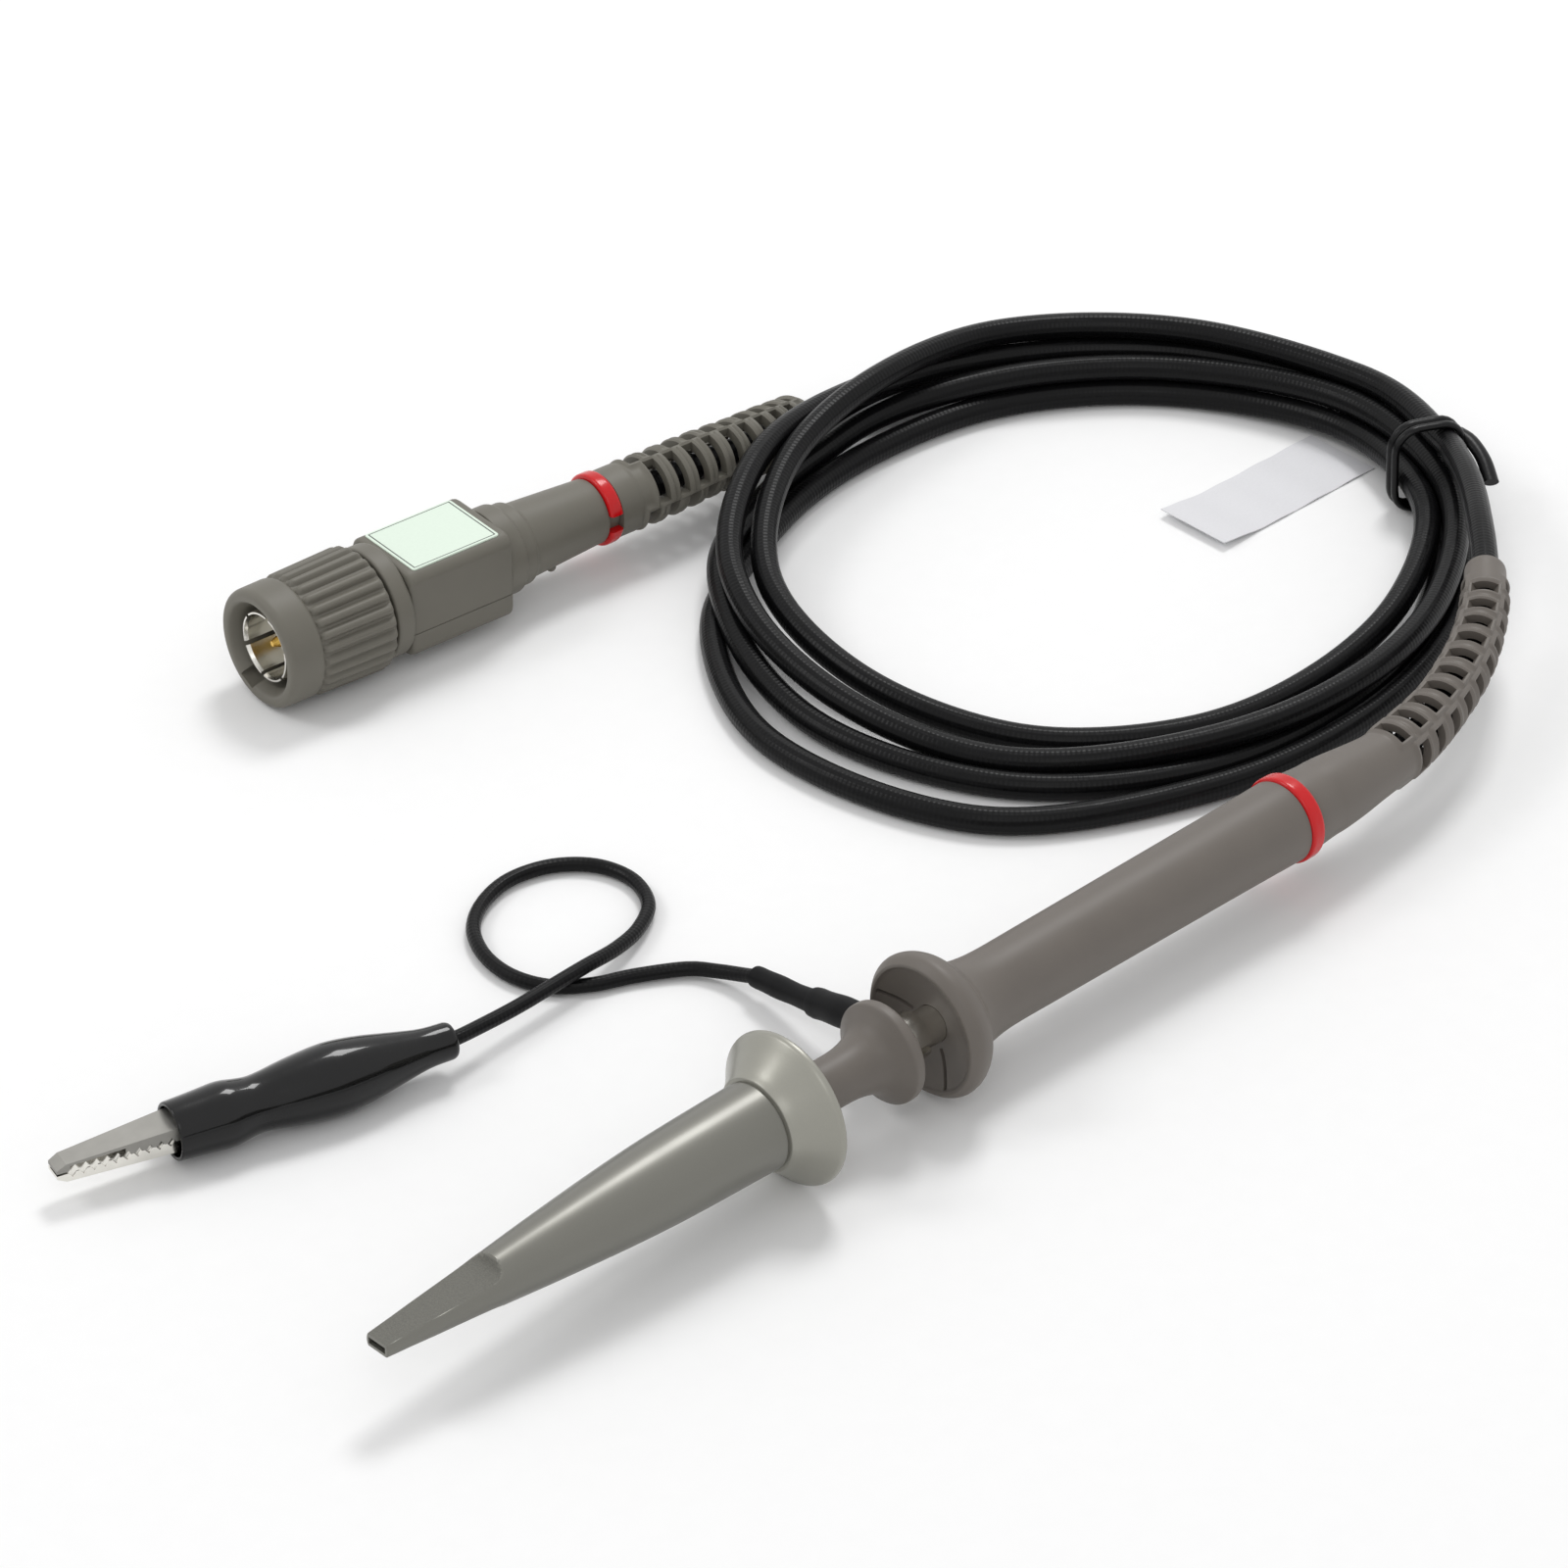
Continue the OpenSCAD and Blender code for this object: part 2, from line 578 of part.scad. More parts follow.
// Stepped collar and cone behind the box, with the seat of its red ring
module comp_tail() {
    color("#73706a") on_box(box_length) rotate_extrude() polygon([
        [2.35, 0], [5.2, 0], [5.2, 2.2], [5, 2.5], [4.8, 2.5], [4.8, 3.9], [4.4, 4.2],
        [3.75, tail_length], [3.2, tail_length], [3.2, tail_length + 1.8],
        [cable_d / 2 + 0.15, tail_length + 1.8], [cable_d / 2 + 0.15, 11], [2.35, 11]]);
}

// The whole hollow box before it is parted
module box_shell() {
    difference() {
        rotate([0, 90, 0]) rounded_bar(box_height, box_width, 1.4, box_length);
        block([1.2, 1.2 - box_width / 2, 1.2 - box_height / 2],
            [box_length - 1.2, box_width / 2 - 1.2, box_height / 2 - 1.2]);
        // front and back openings for the plug and the cable
        translate([-1, 0, 0]) rotate([0, 90, 0]) cylinder(r = 3.6, h = 3);
        translate([box_length - 2, 0, 0]) rotate([0, 90, 0]) cylinder(r = 2, h = 4);
        // screwdriver hole of the trimmer
        translate([7.2, 0, 0.9]) rotate([-90, 0, 0]) cylinder(r = 1.1, h = 10);
    }
}

module comp_shell_top() {
    color("#73706a") at_box() difference() {
        box_shell();
        block([-1, -10, -10], [box_length + 1, 10, parting_z]);
        // shallow seat of the plate
        block([1, 0.9 - box_width / 2, box_height / 2 - 0.1],
            [box_length - 1, box_width / 2 - 0.9, box_height / 2 + 1]);
    }
}

module comp_shell_bottom() {
    color("#73706a") at_box() difference() {
        box_shell();
        block([-1, -10, parting_z - 0.02], [box_length + 1, 10, 10]);
    }
}

module comp_label() {
    color("#deecde") at_box() block([1.1, 1 - box_width / 2, box_height / 2 - 0.1],
        [box_length - 1.1, box_width / 2 - 1, box_height / 2 + 0.06]);
}

// Circuit board on the floor of the box, with two small chips
module comp_board() {
    color("#2f6b45") at_box() union() {
        block([3.4, 1.5 - box_width / 2, -2], [box_length - 1.6, box_width / 2 - 1.5, -1.2]);
        block([4, -3.4, -1.3], [6, -2.2, -0.6]);
        block([7.6, -3.4, -1.3], [9.6, -2.2, -0.6]);
        block([7, -1.6, -1.3], [10.6, -0.4, -0.4]);
    }
}

module trimmer_body() {
    color("#c9a24a") at_box() difference() {
        block([5, 0.5, -1.2], [9.4, 3.2, 3]);
        translate([7.2, 2.2, 0.9]) rotate([-90, 0, 0]) cylinder(r = 1.45, h = 3);
    }
}

module trimmer_rotor() {
    color("#c8c8c4") at_box() difference() {
        translate([7.2, 2.2, 0.9]) rotate([-90, 0, 0]) cylinder(r = 1.4, h = 1.7);
        block([5, 3.4, 0.65], [10, 5, 1.15]);
    }
}

// Metal body of the plug: slotted contact fingers, flange and journal of the sleeve
module bnc_body() {
    color("#cfcfca") difference() {
        on_box(0) rotate_extrude() polygon([
            [3.66, -8.6], [3.66, -15.2], [3.8, -15.6], [4, -15.6], [finger_r, -15.2],
            [finger_r, gasket_x], [gasket_r, gasket_x], [gasket_r, -8.6], [5.3, -8.6], [5.3, -7.6], [4.3, -7.6], [4.3, -2.5], [3.5, -2.5], [3.5, 1.2],
            [3.9, 1.2], [3.9, 2.2], [2.6, 2.2], [2.6, -8.6]]);
        for (a = [0 : 60 : 300]) on_box(-16) rotate([0, 0, a + 10])
            block([3, -0.25, 0], [5, 0.25, 5.6]);
    }
}

module bnc_insulator() {
    color("#f0f0ec") on_box(0) rotate_extrude() polygon([
        [0.7, -10.4], [3.64, -10.4], [3.64, -8.62], [2.58, -8.62], [2.58, 2], [0.7, 2]]);
}

module bnc_pin() {
    color("#d8b24a") on_box(-14.6) union() {
        cylinder(r1 = 0.3, r2 = 0.68, h = 0.9);
        translate([0, 0, 0.9]) cylinder(r = 0.68, h = 16.9);
    }
}

module bnc_gasket() {
    color("#2a2a2a") on_box(gasket_x + 0.1) tube(5.3, gasket_r + 0.04, 0.68);
}

// Spring washer between the flange and the inner shoulder of the sleeve
module bnc_washer() {
    color("#b8b8b4") on_box(-7.56) tube(5.2, 4.4, 0.3);
}

module neck_ring() {
    color("#73706a") on_box(-2.3) tube(6.5, 3.62, 2.28);
}

// Ribbed sleeve with the two bayonet tracks cut inside it
module bnc_sleeve() {
    front = -16.6;
    back = -2.6;
    color("#73706a") difference() {
        union() {
            on_box(0) rotate_extrude() polygon([
                [4.9, front + 0.3], [5.2, front], [bnc_r - 0.5, front], [bnc_r, front + 0.5],
                [bnc_r, front + 4.2], [bnc_r - 0.5, front + 4.5], [bnc_r - 0.4, back],
                [5.8, back], [5.8, -4.6], [4.38, -4.6], [4.38, -7.1], [5.45, -7.1],
                [5.45, -9.5], [4.9, -9.5]]);
            for (i = [0 : rib_count - 1]) on_box(front + 5) rotate([0, 0, i * 360 / rib_count])
                block([bnc_r - 1, -0.42, 0], [bnc_r + 0.1, 0.42, 8.8]);
        }
        // entry slots of the bayonet pins and their tracks
        for (m = [0, 180]) on_box(front - 1) rotate([0, 0, m + 24]) {
            block([4, -1.1, 0], [5.65, 1.1, 5.6]);
            rotate([0, 0, -8]) translate([0, 0, 4.4]) rotate_extrude(angle = 80)
                translate([4.5, 0]) square([1.15, 2.2]);
        }
    }
}

handle();
probe_pin();
nose_insulator();
ground_barrel();
shield_tube();
attenuator_board();
switch_body();
switch_slider();
ring_probe();
relief_probe();
ferrule_probe();
hook_barrel();
contact_socket();
hook_wire();
hook_spring();
hook_sleeve();
ground_clip();
lead_boot_thick();
lead_boot_thin();
ground_cord();
clip_boot();
clip_lower_jaw();
clip_upper_jaw();
clip_pin();
clip_spring();
cable_lead_probe();
cable_coil();
wire_tie();
label_flag();
cable_lead_comp();
relief_comp();
ring_comp();
ferrule_comp();
comp_tail();
comp_shell_top();
comp_shell_bottom();
comp_label();
comp_board();
trimmer_body();
trimmer_rotor();
bnc_body();
bnc_insulator();
bnc_pin();
bnc_gasket();
bnc_washer();
neck_ring();
bnc_sleeve();
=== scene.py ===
"""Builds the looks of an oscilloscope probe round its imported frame.

Lengths inside the shapes are in millimetres and turn into metres when a mesh is made.
The head lies along X, the box and the clip have frames of their own, and +Z is up.
"""
import json
import math

import bmesh
import bpy
import numpy as np
from bpy.props import FloatProperty, FloatVectorProperty, IntProperty, PointerProperty
from bpy.types import Operator, Panel, PropertyGroup
from mathutils import Matrix, Vector


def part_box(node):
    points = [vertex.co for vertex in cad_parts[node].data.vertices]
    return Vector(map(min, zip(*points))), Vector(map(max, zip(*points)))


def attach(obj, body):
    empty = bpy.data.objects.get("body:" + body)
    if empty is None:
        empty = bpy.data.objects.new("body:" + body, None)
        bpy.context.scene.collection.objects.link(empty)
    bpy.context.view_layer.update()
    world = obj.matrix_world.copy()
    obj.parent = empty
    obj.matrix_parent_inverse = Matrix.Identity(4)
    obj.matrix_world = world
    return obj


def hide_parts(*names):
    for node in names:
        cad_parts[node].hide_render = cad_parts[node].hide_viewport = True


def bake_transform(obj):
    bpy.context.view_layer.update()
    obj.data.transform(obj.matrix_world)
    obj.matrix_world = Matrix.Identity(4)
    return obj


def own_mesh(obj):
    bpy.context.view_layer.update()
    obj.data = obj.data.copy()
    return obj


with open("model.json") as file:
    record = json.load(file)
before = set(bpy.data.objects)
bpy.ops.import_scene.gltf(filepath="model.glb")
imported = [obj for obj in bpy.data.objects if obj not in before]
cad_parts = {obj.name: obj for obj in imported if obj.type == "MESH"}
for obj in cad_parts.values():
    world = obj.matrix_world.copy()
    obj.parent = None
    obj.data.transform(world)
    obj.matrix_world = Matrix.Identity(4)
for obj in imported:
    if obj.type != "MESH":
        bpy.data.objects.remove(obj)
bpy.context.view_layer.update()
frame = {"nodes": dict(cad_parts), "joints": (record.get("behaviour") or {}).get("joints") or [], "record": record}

bl_info = {
    "name": "Oscilloscope probe",
    "version": (1, 0, 0),
    "blender": (4, 5, 0),
    "location": "View3D > Sidebar > Probe",
    "description": "Models the looks of an oscilloscope probe round its packed frame",
    "category": "Object",
}

MM = 0.001
FULL_TURN = 2 * math.pi
# edges that turn by more than this stay sharp
SHARP_ANGLE = math.radians(32)
# stations of the hinge and of the middle of the plug's fingers in the frames of the clip and box
HINGE_X = 22.0
FINGERS_X = -12.3
# where the box's tail ends in the frame of the box
TAIL_END = 30.2
# a distance beyond the outside of every hard piece, for what cuts through it
FAR = 9


# --- frames of reference -------------------------------------------------------------------

def record_item(items, name):
    """The record's mount or joint of that name."""
    return next(item for item in items if item["name"] == name)


def placed(origin, x_axis, y_axis):
    """The matrix, in millimetres, of a frame with these two axes."""
    z_axis = x_axis.cross(y_axis)
    turn = Matrix((x_axis, y_axis, z_axis)).transposed().to_4x4()
    return Matrix.Translation(origin) @ turn


def head_frame():
    """The head's axis runs along X through the middle of the red ring."""
    low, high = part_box("ring_probe")
    return Matrix.Translation((0, 0, (low.z + high.z) / 2 / MM))


def box_frame():
    """The frame of the compensation box, from the mount on the plug's fingers."""
    mount = record_item(frame["record"]["mounts"], "plug_fingers")
    x_axis = -Vector(mount["axis"]).normalized()
    origin = Vector(mount["pos_m"]) / MM - x_axis * FINGERS_X
    return placed(origin, x_axis, Vector((0, 0, 1)).cross(x_axis))


def clip_frame():
    """The frame of the crocodile clip, from the hinge of its jaws."""
    joint = record_item(frame["joints"], "jaw_open")
    y_axis = -Vector(joint["axis"]).normalized()
    x_axis = y_axis.cross(Vector((0, 0, 1)))
    return placed(Vector(joint["pos_m"]) / MM - x_axis * HINGE_X, x_axis, y_axis)


HEAD = head_frame()
BOX = box_frame()
CLIP = clip_frame()


# --- sizes and colours ---------------------------------------------------------------------

def linear(red, green, blue):
    """A screen colour of 0 to 255 as the linear colour that shaders take."""
    def one(value):
        part = value / 255
        return part / 12.92 if part <= 0.04045 else ((part + 0.055) / 1.055) ** 2.4
    return (one(red), one(green), one(blue))


def length_prop(name, description, default):
    """A length in metres."""
    return FloatProperty(name=name, description=description, default=default, min=0,
                         unit="LENGTH", precision=5)


def colour_prop(name, description, screen):
    """A colour, given as it shows on screen."""
    return FloatVectorProperty(name=name, description=description, default=linear(*screen),
                               min=0, max=1, subtype="COLOR")


class ProbeSizes(PropertyGroup):
    """Sizes of the cords and the plug"""
    cable_diameter: length_prop("Cable diameter", "Diameter of the main cable", 0.003)
    cable_length: length_prop("Cable length", "Length of the main cable from the red ring", 1.2)
    lead_diameter: length_prop("Lead diameter", "Diameter of the ground lead", 0.00156)
    lead_length: length_prop("Lead length", "Length of the ground lead", 0.127)
    sleeve_ribs: IntProperty(name="Sleeve ribs", description="Grip ribs round the plug's sleeve",
                             default=28, min=12, max=40)


class ProbeColours(PropertyGroup):
    """Colours of the pieces that show"""
    grip: colour_prop("Grip", "Plastic of the handle and the barrel", (104, 98, 92))
    box: colour_prop("Box", "Plastic of the box, its relief and the plug", (106, 103, 94))
    sleeve: colour_prop("Hook sleeve", "Satin plastic of the hook tip", (114, 113, 106))
    rings: colour_prop("Rings", "The two colour rings", (198, 14, 20))
    cable: colour_prop("Cable", "Jacket of the main cable and the lead", (11, 11, 12))
    boot: colour_prop("Boot", "Vinyl of the clip's boot", (6, 6, 7))
    label: colour_prop("Label", "Film on the box", (222, 237, 222))
    paper: colour_prop("Flag", "Paper of the flag", (224, 224, 227))
    nickel: colour_prop("Nickel", "Plated metal", (196, 194, 188))


# --- shaders -------------------------------------------------------------------------------

class Value:
    """A socket of a node tree. Arithmetic on it adds Math nodes."""

    def __init__(self, tree, socket):
        self.tree = tree
        self.socket = socket

    def math(self, operation, *terms):
        """A Math node on these terms, in their order."""
        node = self.tree.nodes.new("ShaderNodeMath")
        node.operation = operation
        for place, term in enumerate(terms):
            feed(self.tree, node.inputs[place], term)
        return Value(self.tree, node.outputs[0])

    def __add__(self, other):
        return self.math("ADD", self, other)

    def __radd__(self, other):
        return self.math("ADD", other, self)

    def __sub__(self, other):
        return self.math("SUBTRACT", self, other)

    def __rsub__(self, other):
        return self.math("SUBTRACT", other, self)

    def __mul__(self, other):
        return self.math("MULTIPLY", self, other)

    def __rmul__(self, other):
        return self.math("MULTIPLY", other, self)

    def __gt__(self, other):
        return self.math("GREATER_THAN", self, other)

    def __lt__(self, other):
        return self.math("LESS_THAN", self, other)

    def __abs__(self):
        return self.math("ABSOLUTE", self)

    def sine(self):
        return self.math("SINE", self)

    def output(self, place):
        """Another output of the node that this value comes from."""
        return Value(self.tree, self.socket.node.outputs[place])


def feed(tree, socket, term):
    """Links a Value to a socket, or sets the socket to a plain number or vector."""
    if isinstance(term, Value):
        tree.links.new(term.socket, socket)
    else:
        socket.default_value = term


class Finish:
    """One procedural material, written on a Principled BSDF."""

    def __init__(self, name, **constants):
        self.material = bpy.data.materials.new(name)
        self.material.use_nodes = True
        self.tree = self.material.node_tree
        self.tree.nodes.clear()
        output = self.tree.nodes.new("ShaderNodeOutputMaterial")
        self.shader = self.tree.nodes.new("ShaderNodeBsdfPrincipled")
        self.tree.links.new(self.shader.outputs[0], output.inputs["Surface"])
        for socket, value in constants.items():
            self.shader.inputs[socket.replace("_", " ")].default_value = value

    def node(self, kind, settings=None, inputs=None, output=0):
        """A node of that type with its settings, then the values or links of its sockets."""
        made = self.tree.nodes.new(kind)
        for setting, value in (settings or {}).items():
            setattr(made, setting, value)
        for socket, term in (inputs or {}).items():
            feed(self.tree, made.inputs[socket], term)
        return Value(self.tree, made.outputs[output])

    def place(self):
        """The place on the object, in metres."""
        return self.node("ShaderNodeTexCoord", output="Object")

    def map_place(self):
        """The two measures of the piece's own map."""
        along = self.node("ShaderNodeSeparateXYZ", None,
                          {0: self.node("ShaderNodeTexCoord", output="UV")})
        return along, along.output(1)

    def grain(self, size, detail=2.0, stretch=(1, 1, 1)):
        """Noise from 0 to 1 with spots of that size in millimetres."""
        spread = self.node("ShaderNodeVectorMath", {"operation": "MULTIPLY"},
                           {0: self.place(), 1: stretch})
        return self.node("ShaderNodeTexNoise", None,
                         {"Vector": spread, "Scale": 1 / (size * MM), "Detail": detail})

    def mix(self, factor, first, second):
        """A colour between two colours."""
        ends = [end if isinstance(end, Value) else (*end, 1) for end in (first, second)]
        return self.node("ShaderNodeMix", {"data_type": "RGBA"},
                         {0: factor, 6: ends[0], 7: ends[1]}, 2)

    def relief(self, height, depth):
        """Bumps of that depth in millimetres where height is 1."""
        bump = self.node("ShaderNodeBump", None,
                         {"Strength": 1.0, "Distance": depth * MM, "Height": height})
        self.tree.links.new(bump.socket, self.shader.inputs["Normal"])

    def surface(self, factor, dark, light, roughness, height=None, depth=0.0):
        """Feeds the shader a colour between two colours, a roughness and bumps, and gives the
        material."""
        feed(self.tree, self.shader.inputs["Base Color"], self.mix(factor, dark, light))
        feed(self.tree, self.shader.inputs["Roughness"], roughness)
        if height is not None:
            self.relief(height, depth)
        return self.material


def shade(colour, amount):
    """A colour made darker or lighter by a factor."""
    return tuple(min(1.0, part * amount) for part in colour)


def moulded(name, colour, roughness, grain=0.12, depth=0.012, coat=0.0, shine=0.4):
    """Moulded plastic with a fine spark-eroded grain and slightly uneven gloss."""
    finish = Finish(name, IOR=1.5, Specular_IOR_Level=shine, Coat_Weight=coat,
                    Coat_Roughness=0.12)
    clouds = finish.grain(4.0)
    fine = finish.grain(grain, 3.0)
    return finish.surface(clouds * 0.7 + fine * 0.3, shade(colour, 0.9), shade(colour, 1.1),
                          clouds * 0.12 + fine * 0.08 + (roughness - 0.1), fine, depth)


def pearl(name, colour):
    """Satin plastic with a fine metallic pigment."""
    finish = Finish(name, IOR=1.5, Metallic=0.55, Coat_Weight=0.3, Coat_Roughness=0.2)
    flakes = finish.grain(0.06, 1.0)
    clouds = finish.grain(5.0)
    return finish.surface(flakes, shade(colour, 0.92), shade(colour, 1.12),
                          clouds * 0.1 + flakes * 0.08 + 0.29, flakes, 0.002)


def worn_flat(name, colour):
    """The sandy matt face of the flattened end."""
    finish = Finish(name, IOR=1.45)
    sand = finish.grain(0.16, 4.0)
    return finish.surface(sand, shade(colour, 0.5), shade(colour, 1.2), sand * 0.2 + 0.6,
                          sand, 0.05)


def jacket(name, colour, roughness, pitch):
    """Cable jacket whose braid shows through as small bumps. The map runs along the cable in
    millimetres and once round it."""
    finish = Finish(name, IOR=1.5, Specular_IOR_Level=0.14)
    run, turn = finish.map_place()
    strands = 8
    one_way = (run * (FULL_TURN / pitch) + turn * (FULL_TURN * strands)).sine()
    other_way = (run * (FULL_TURN / pitch) - turn * (FULL_TURN * strands)).sine()
    clouds = finish.grain(3.0)
    braid = one_way * other_way * clouds
    scuff = finish.grain(0.5, 3.0)
    return finish.surface(scuff, shade(colour, 0.7), shade(colour, 1.5),
                          scuff * 0.14 + clouds * 0.1 + (roughness - 0.12),
                          braid + scuff * 0.3, 0.03)


def soft_black(name, colour, roughness, coat):
    """Moulded vinyl or shrunk sleeve with faint handling marks."""
    finish = Finish(name, IOR=1.5, Specular_IOR_Level=0.1, Coat_Weight=coat,
                    Coat_Roughness=0.06)
    marks = finish.grain(0.8, 4.0)
    clouds = finish.grain(6.0)
    return finish.surface(marks, shade(colour, 0.7), shade(colour, 1.6),
                          marks * 0.12 + clouds * 0.1 + (roughness - 0.1),
                          clouds + marks * 0.15, 0.05)


def plated(name, colour, roughness, depth=0.0):
    """Plated or polished metal with faint stains, blasted where it has a depth."""
    finish = Finish(name, Metallic=1.0)
    marks = finish.grain(1.2)
    stain = finish.grain(2.5)
    blasted = finish.grain(0.25, 3.0) if depth else None
    return finish.surface(stain, shade(colour, 0.82), shade(colour, 1.08),
                          marks * 0.1 + stain * 0.08 + (roughness - 0.08), blasted, depth)


def film(name, colour):
    """Film with a thin dark line just inside its edge, a painted shadow that stands in for the shade round the
    label. The map runs from 0 to 1 along it and across it."""
    finish = Finish(name, IOR=1.5, Coat_Weight=0.25, Coat_Roughness=0.15)
    along, across = finish.map_place()
    from_middle = along.math("MAXIMUM", abs(along - 0.5), abs(across - 0.5))
    # the painted shadow: a dark band from 0.462 to 0.476 of the way out from the middle
    line = (from_middle > 0.462) * (from_middle < 0.476)
    fibres = finish.grain(0.3, 2.0)
    plain = finish.mix(fibres, shade(colour, 0.96), shade(colour, 1.02))
    return finish.surface(line, plain, (0.05, 0.06, 0.05), fibres * 0.1 + 0.35, fibres, 0.003)


def paper(name, colour):
    """Uncoated white paper tape."""
    finish = Finish(name, IOR=1.4)
    fibres = finish.grain(0.35, 4.0, (1, 3, 1))
    return finish.surface(fibres, shade(colour, 0.93), shade(colour, 1.03),
                          fibres * 0.15 + 0.6, fibres, 0.02)


def circuit(name):
    """Green board with lighter tracks."""
    finish = Finish(name, IOR=1.5)
    tracks = finish.grain(1.5, 0.0)
    return finish.surface(tracks > 0.52, linear(38, 92, 60), linear(58, 118, 78),
                          tracks * 0.2 + 0.3)


PAINTS = {}


def make_finishes(colours):
    """Every material of the probe, by the record's slot or by the name of its finish."""
    PAINTS.update({
        "grip_plastic": moulded("grip plastic", colours.grip, 0.46),
        "box_plastic": moulded("box plastic", colours.box, 0.5),
        "sleeve_plastic": pearl("pearl plastic", colours.sleeve),
        # a painted highlight on the collar: the sleeve's colour made 1.75 times lighter
        "pearl_light": pearl("pearl collar", shade(colours.sleeve, 1.75)),
        "worn_flat": worn_flat("sandy flat", colours.sleeve),
        "red_plastic": moulded("red plastic", colours.rings, 0.22, 0.4, 0.004, 0.2, 0.25),
        "white_plastic": moulded("white plastic", linear(236, 236, 230), 0.4),
        "core_plastic": moulded("core plastic", linear(208, 202, 188), 0.42),
        "black_plastic": moulded("black plastic", linear(12, 12, 13), 0.3, 0.3, 0.01, 0.0, 0.2),
        "cable_rubber": jacket("cable jacket", colours.cable, 0.32, 1.1),
        "boot_vinyl": soft_black("boot vinyl", colours.boot, 0.24, 0.5),
        "shrink_rubber": soft_black("shrunk sleeve", linear(15, 15, 16), 0.45, 0.0),
        "nickel": plated("nickel plate", colours.nickel, 0.24),
        "spring_steel": plated("spring steel", linear(188, 188, 186), 0.3),
        "gold": plated("gold plate", linear(226, 186, 96), 0.25),
        "brass": plated("brass", linear(196, 166, 100), 0.35),
        "label_film": film("label film", colours.label),
        "paper": paper("paper tape", colours.paper),
        "board": circuit("circuit board"),
        "jaw_top": plated("blasted nickel", shade(colours.nickel, 0.55), 0.5, depth=0.004),
        # a painted highlight: the nickel made 1.45 times lighter, standing in for bright reflections and lifting
        # parts that sit in shade
        "bright_nickel": plated("bright nickel", shade(colours.nickel, 1.45), 0.18),
    })


# --- meshes --------------------------------------------------------------------------------

def new_piece(name, points, faces, body, slot, replaced=(), marks=None, runs=None, paints=()):
    """A mesh piece from points in millimetres, riding on a body and standing for CAD nodes.
    marks gives each face's place among the slot and the paints, and runs gives each face
    corner's place on the map."""
    mesh = bpy.data.meshes.new(name)
    mesh.from_pydata([Vector(point) * MM for point in points], [], faces)
    if runs is not None:
        layer = mesh.uv_layers.new(name="run")
        layer.uv.foreach_set("vector", np.array(runs, np.float32).ravel())
    mesh.validate()
    mesh.shade_smooth()
    for paint in (slot, *paints):
        mesh.materials.append(PAINTS[paint])
    if marks is not None:
        mesh.polygons.foreach_set("material_index", np.array(marks, np.int32))
    piece = bpy.data.objects.new(name, mesh)
    bpy.context.scene.collection.objects.link(piece)
    orient(mesh)
    mesh.set_sharp_from_angle(angle=SHARP_ANGLE)
    if body:
        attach(piece, body)
    if replaced:
        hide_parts(*replaced)
    return piece


def orient(mesh):
    """Turns every face outwards."""
    work = bmesh.new()
    work.from_mesh(mesh)
    bmesh.ops.recalc_face_normals(work, faces=work.faces)
    work.to_mesh(mesh)
    work.free()


def quads(rows, columns, loop_rows=False, loop_columns=True):
    """Faces of a grid of points, as rings of columns."""
    faces = []
    for i in range(rows if loop_rows else rows - 1):
        for j in range(columns if loop_columns else columns - 1):
            k = (i + 1) % rows
            m = (j + 1) % columns
            faces.append((i * columns + j, i * columns + m, k * columns + m, k * columns + j))
    return faces


def fillet(corners):
    """Stations (x, radius) from corners (x, radius, rounding), each rounded with a curve."""
    stations = []
    steps = 5
    most = 0.48  # of a side that one corner may use
    for i, corner in enumerate(corners):
        here = Vector(corner[:2])
        size = corner[2] if len(corner) > 2 else 0
        if size == 0 or i in (0, len(corners) - 1):
            stations.append(tuple(here))
            continue
        back = Vector(corners[i - 1][:2]) - here
        on = Vector(corners[i + 1][:2]) - here
        start = here + back.normalized() * min(size, back.length * most)
        end = here + on.normalized() * min(size, on.length * most)
        for k in range(steps + 1):
            t = k / steps
            point = start * (1 - t) ** 2 + here * 2 * t * (1 - t) + end * t ** 2
            stations.append(tuple(point))
    return stations


def round_about(place, stations, sides, shape=None):
    """Rings of points about a frame's X axis. shape may move a point (x, radius, angle)."""
    points = []
    for x, radius in stations:
        for j in range(sides):
            angle = FULL_TURN * j / sides
            local = shape(x, radius, angle) if shape else Vector(
                (x, radius * math.cos(angle), radius * math.sin(angle)))
            points.append(place @ local)
    return points


def lathe(name, place, corners, body, slot, replaced=(), sides=72, closed=True):
    """A turned piece. A closed outline is hollow, and an open one is capped at both ends."""
    stations = fillet(corners)
    points = round_about(place, stations, sides)
    faces = quads(len(stations), sides, closed)
    if not closed:
        faces.append(tuple(range(sides)))
        faces.append(tuple(range(len(points) - sides, len(points))))
    return new_piece(name, points, faces, body, slot, replaced)


def block(low, high):
    """Corner points and faces of a block between two corners."""
    points = [(x, y, z) for x in (low[0], high[0]) for y in (low[1], high[1])
              for z in (low[2], high[2])]
    faces = [(0, 1, 3, 2), (4, 6, 7, 5), (0, 4, 5, 1), (2, 3, 7, 6), (0, 2, 6, 4), (1, 5, 7, 3)]
    return points, faces


def drum(start, axis, radius, length, sides=32):
    """Points and faces of a round cutter."""
    spin = Vector(axis).to_track_quat("X", "Z").to_matrix().to_4x4()
    points = round_about(Matrix.Translation(start) @ spin, [(0, radius), (length, radius)], sides)
    faces = quads(2, sides)
    return points, faces + [tuple(range(sides)), tuple(range(sides, 2 * sides))]


def turned(angle, cutter):
    """A cutter turned about the X axis by an angle in degrees."""
    points, faces = cutter
    spin = Matrix.Rotation(math.radians(angle), 4, "X")
    return [spin @ Vector(point) for point in points], faces


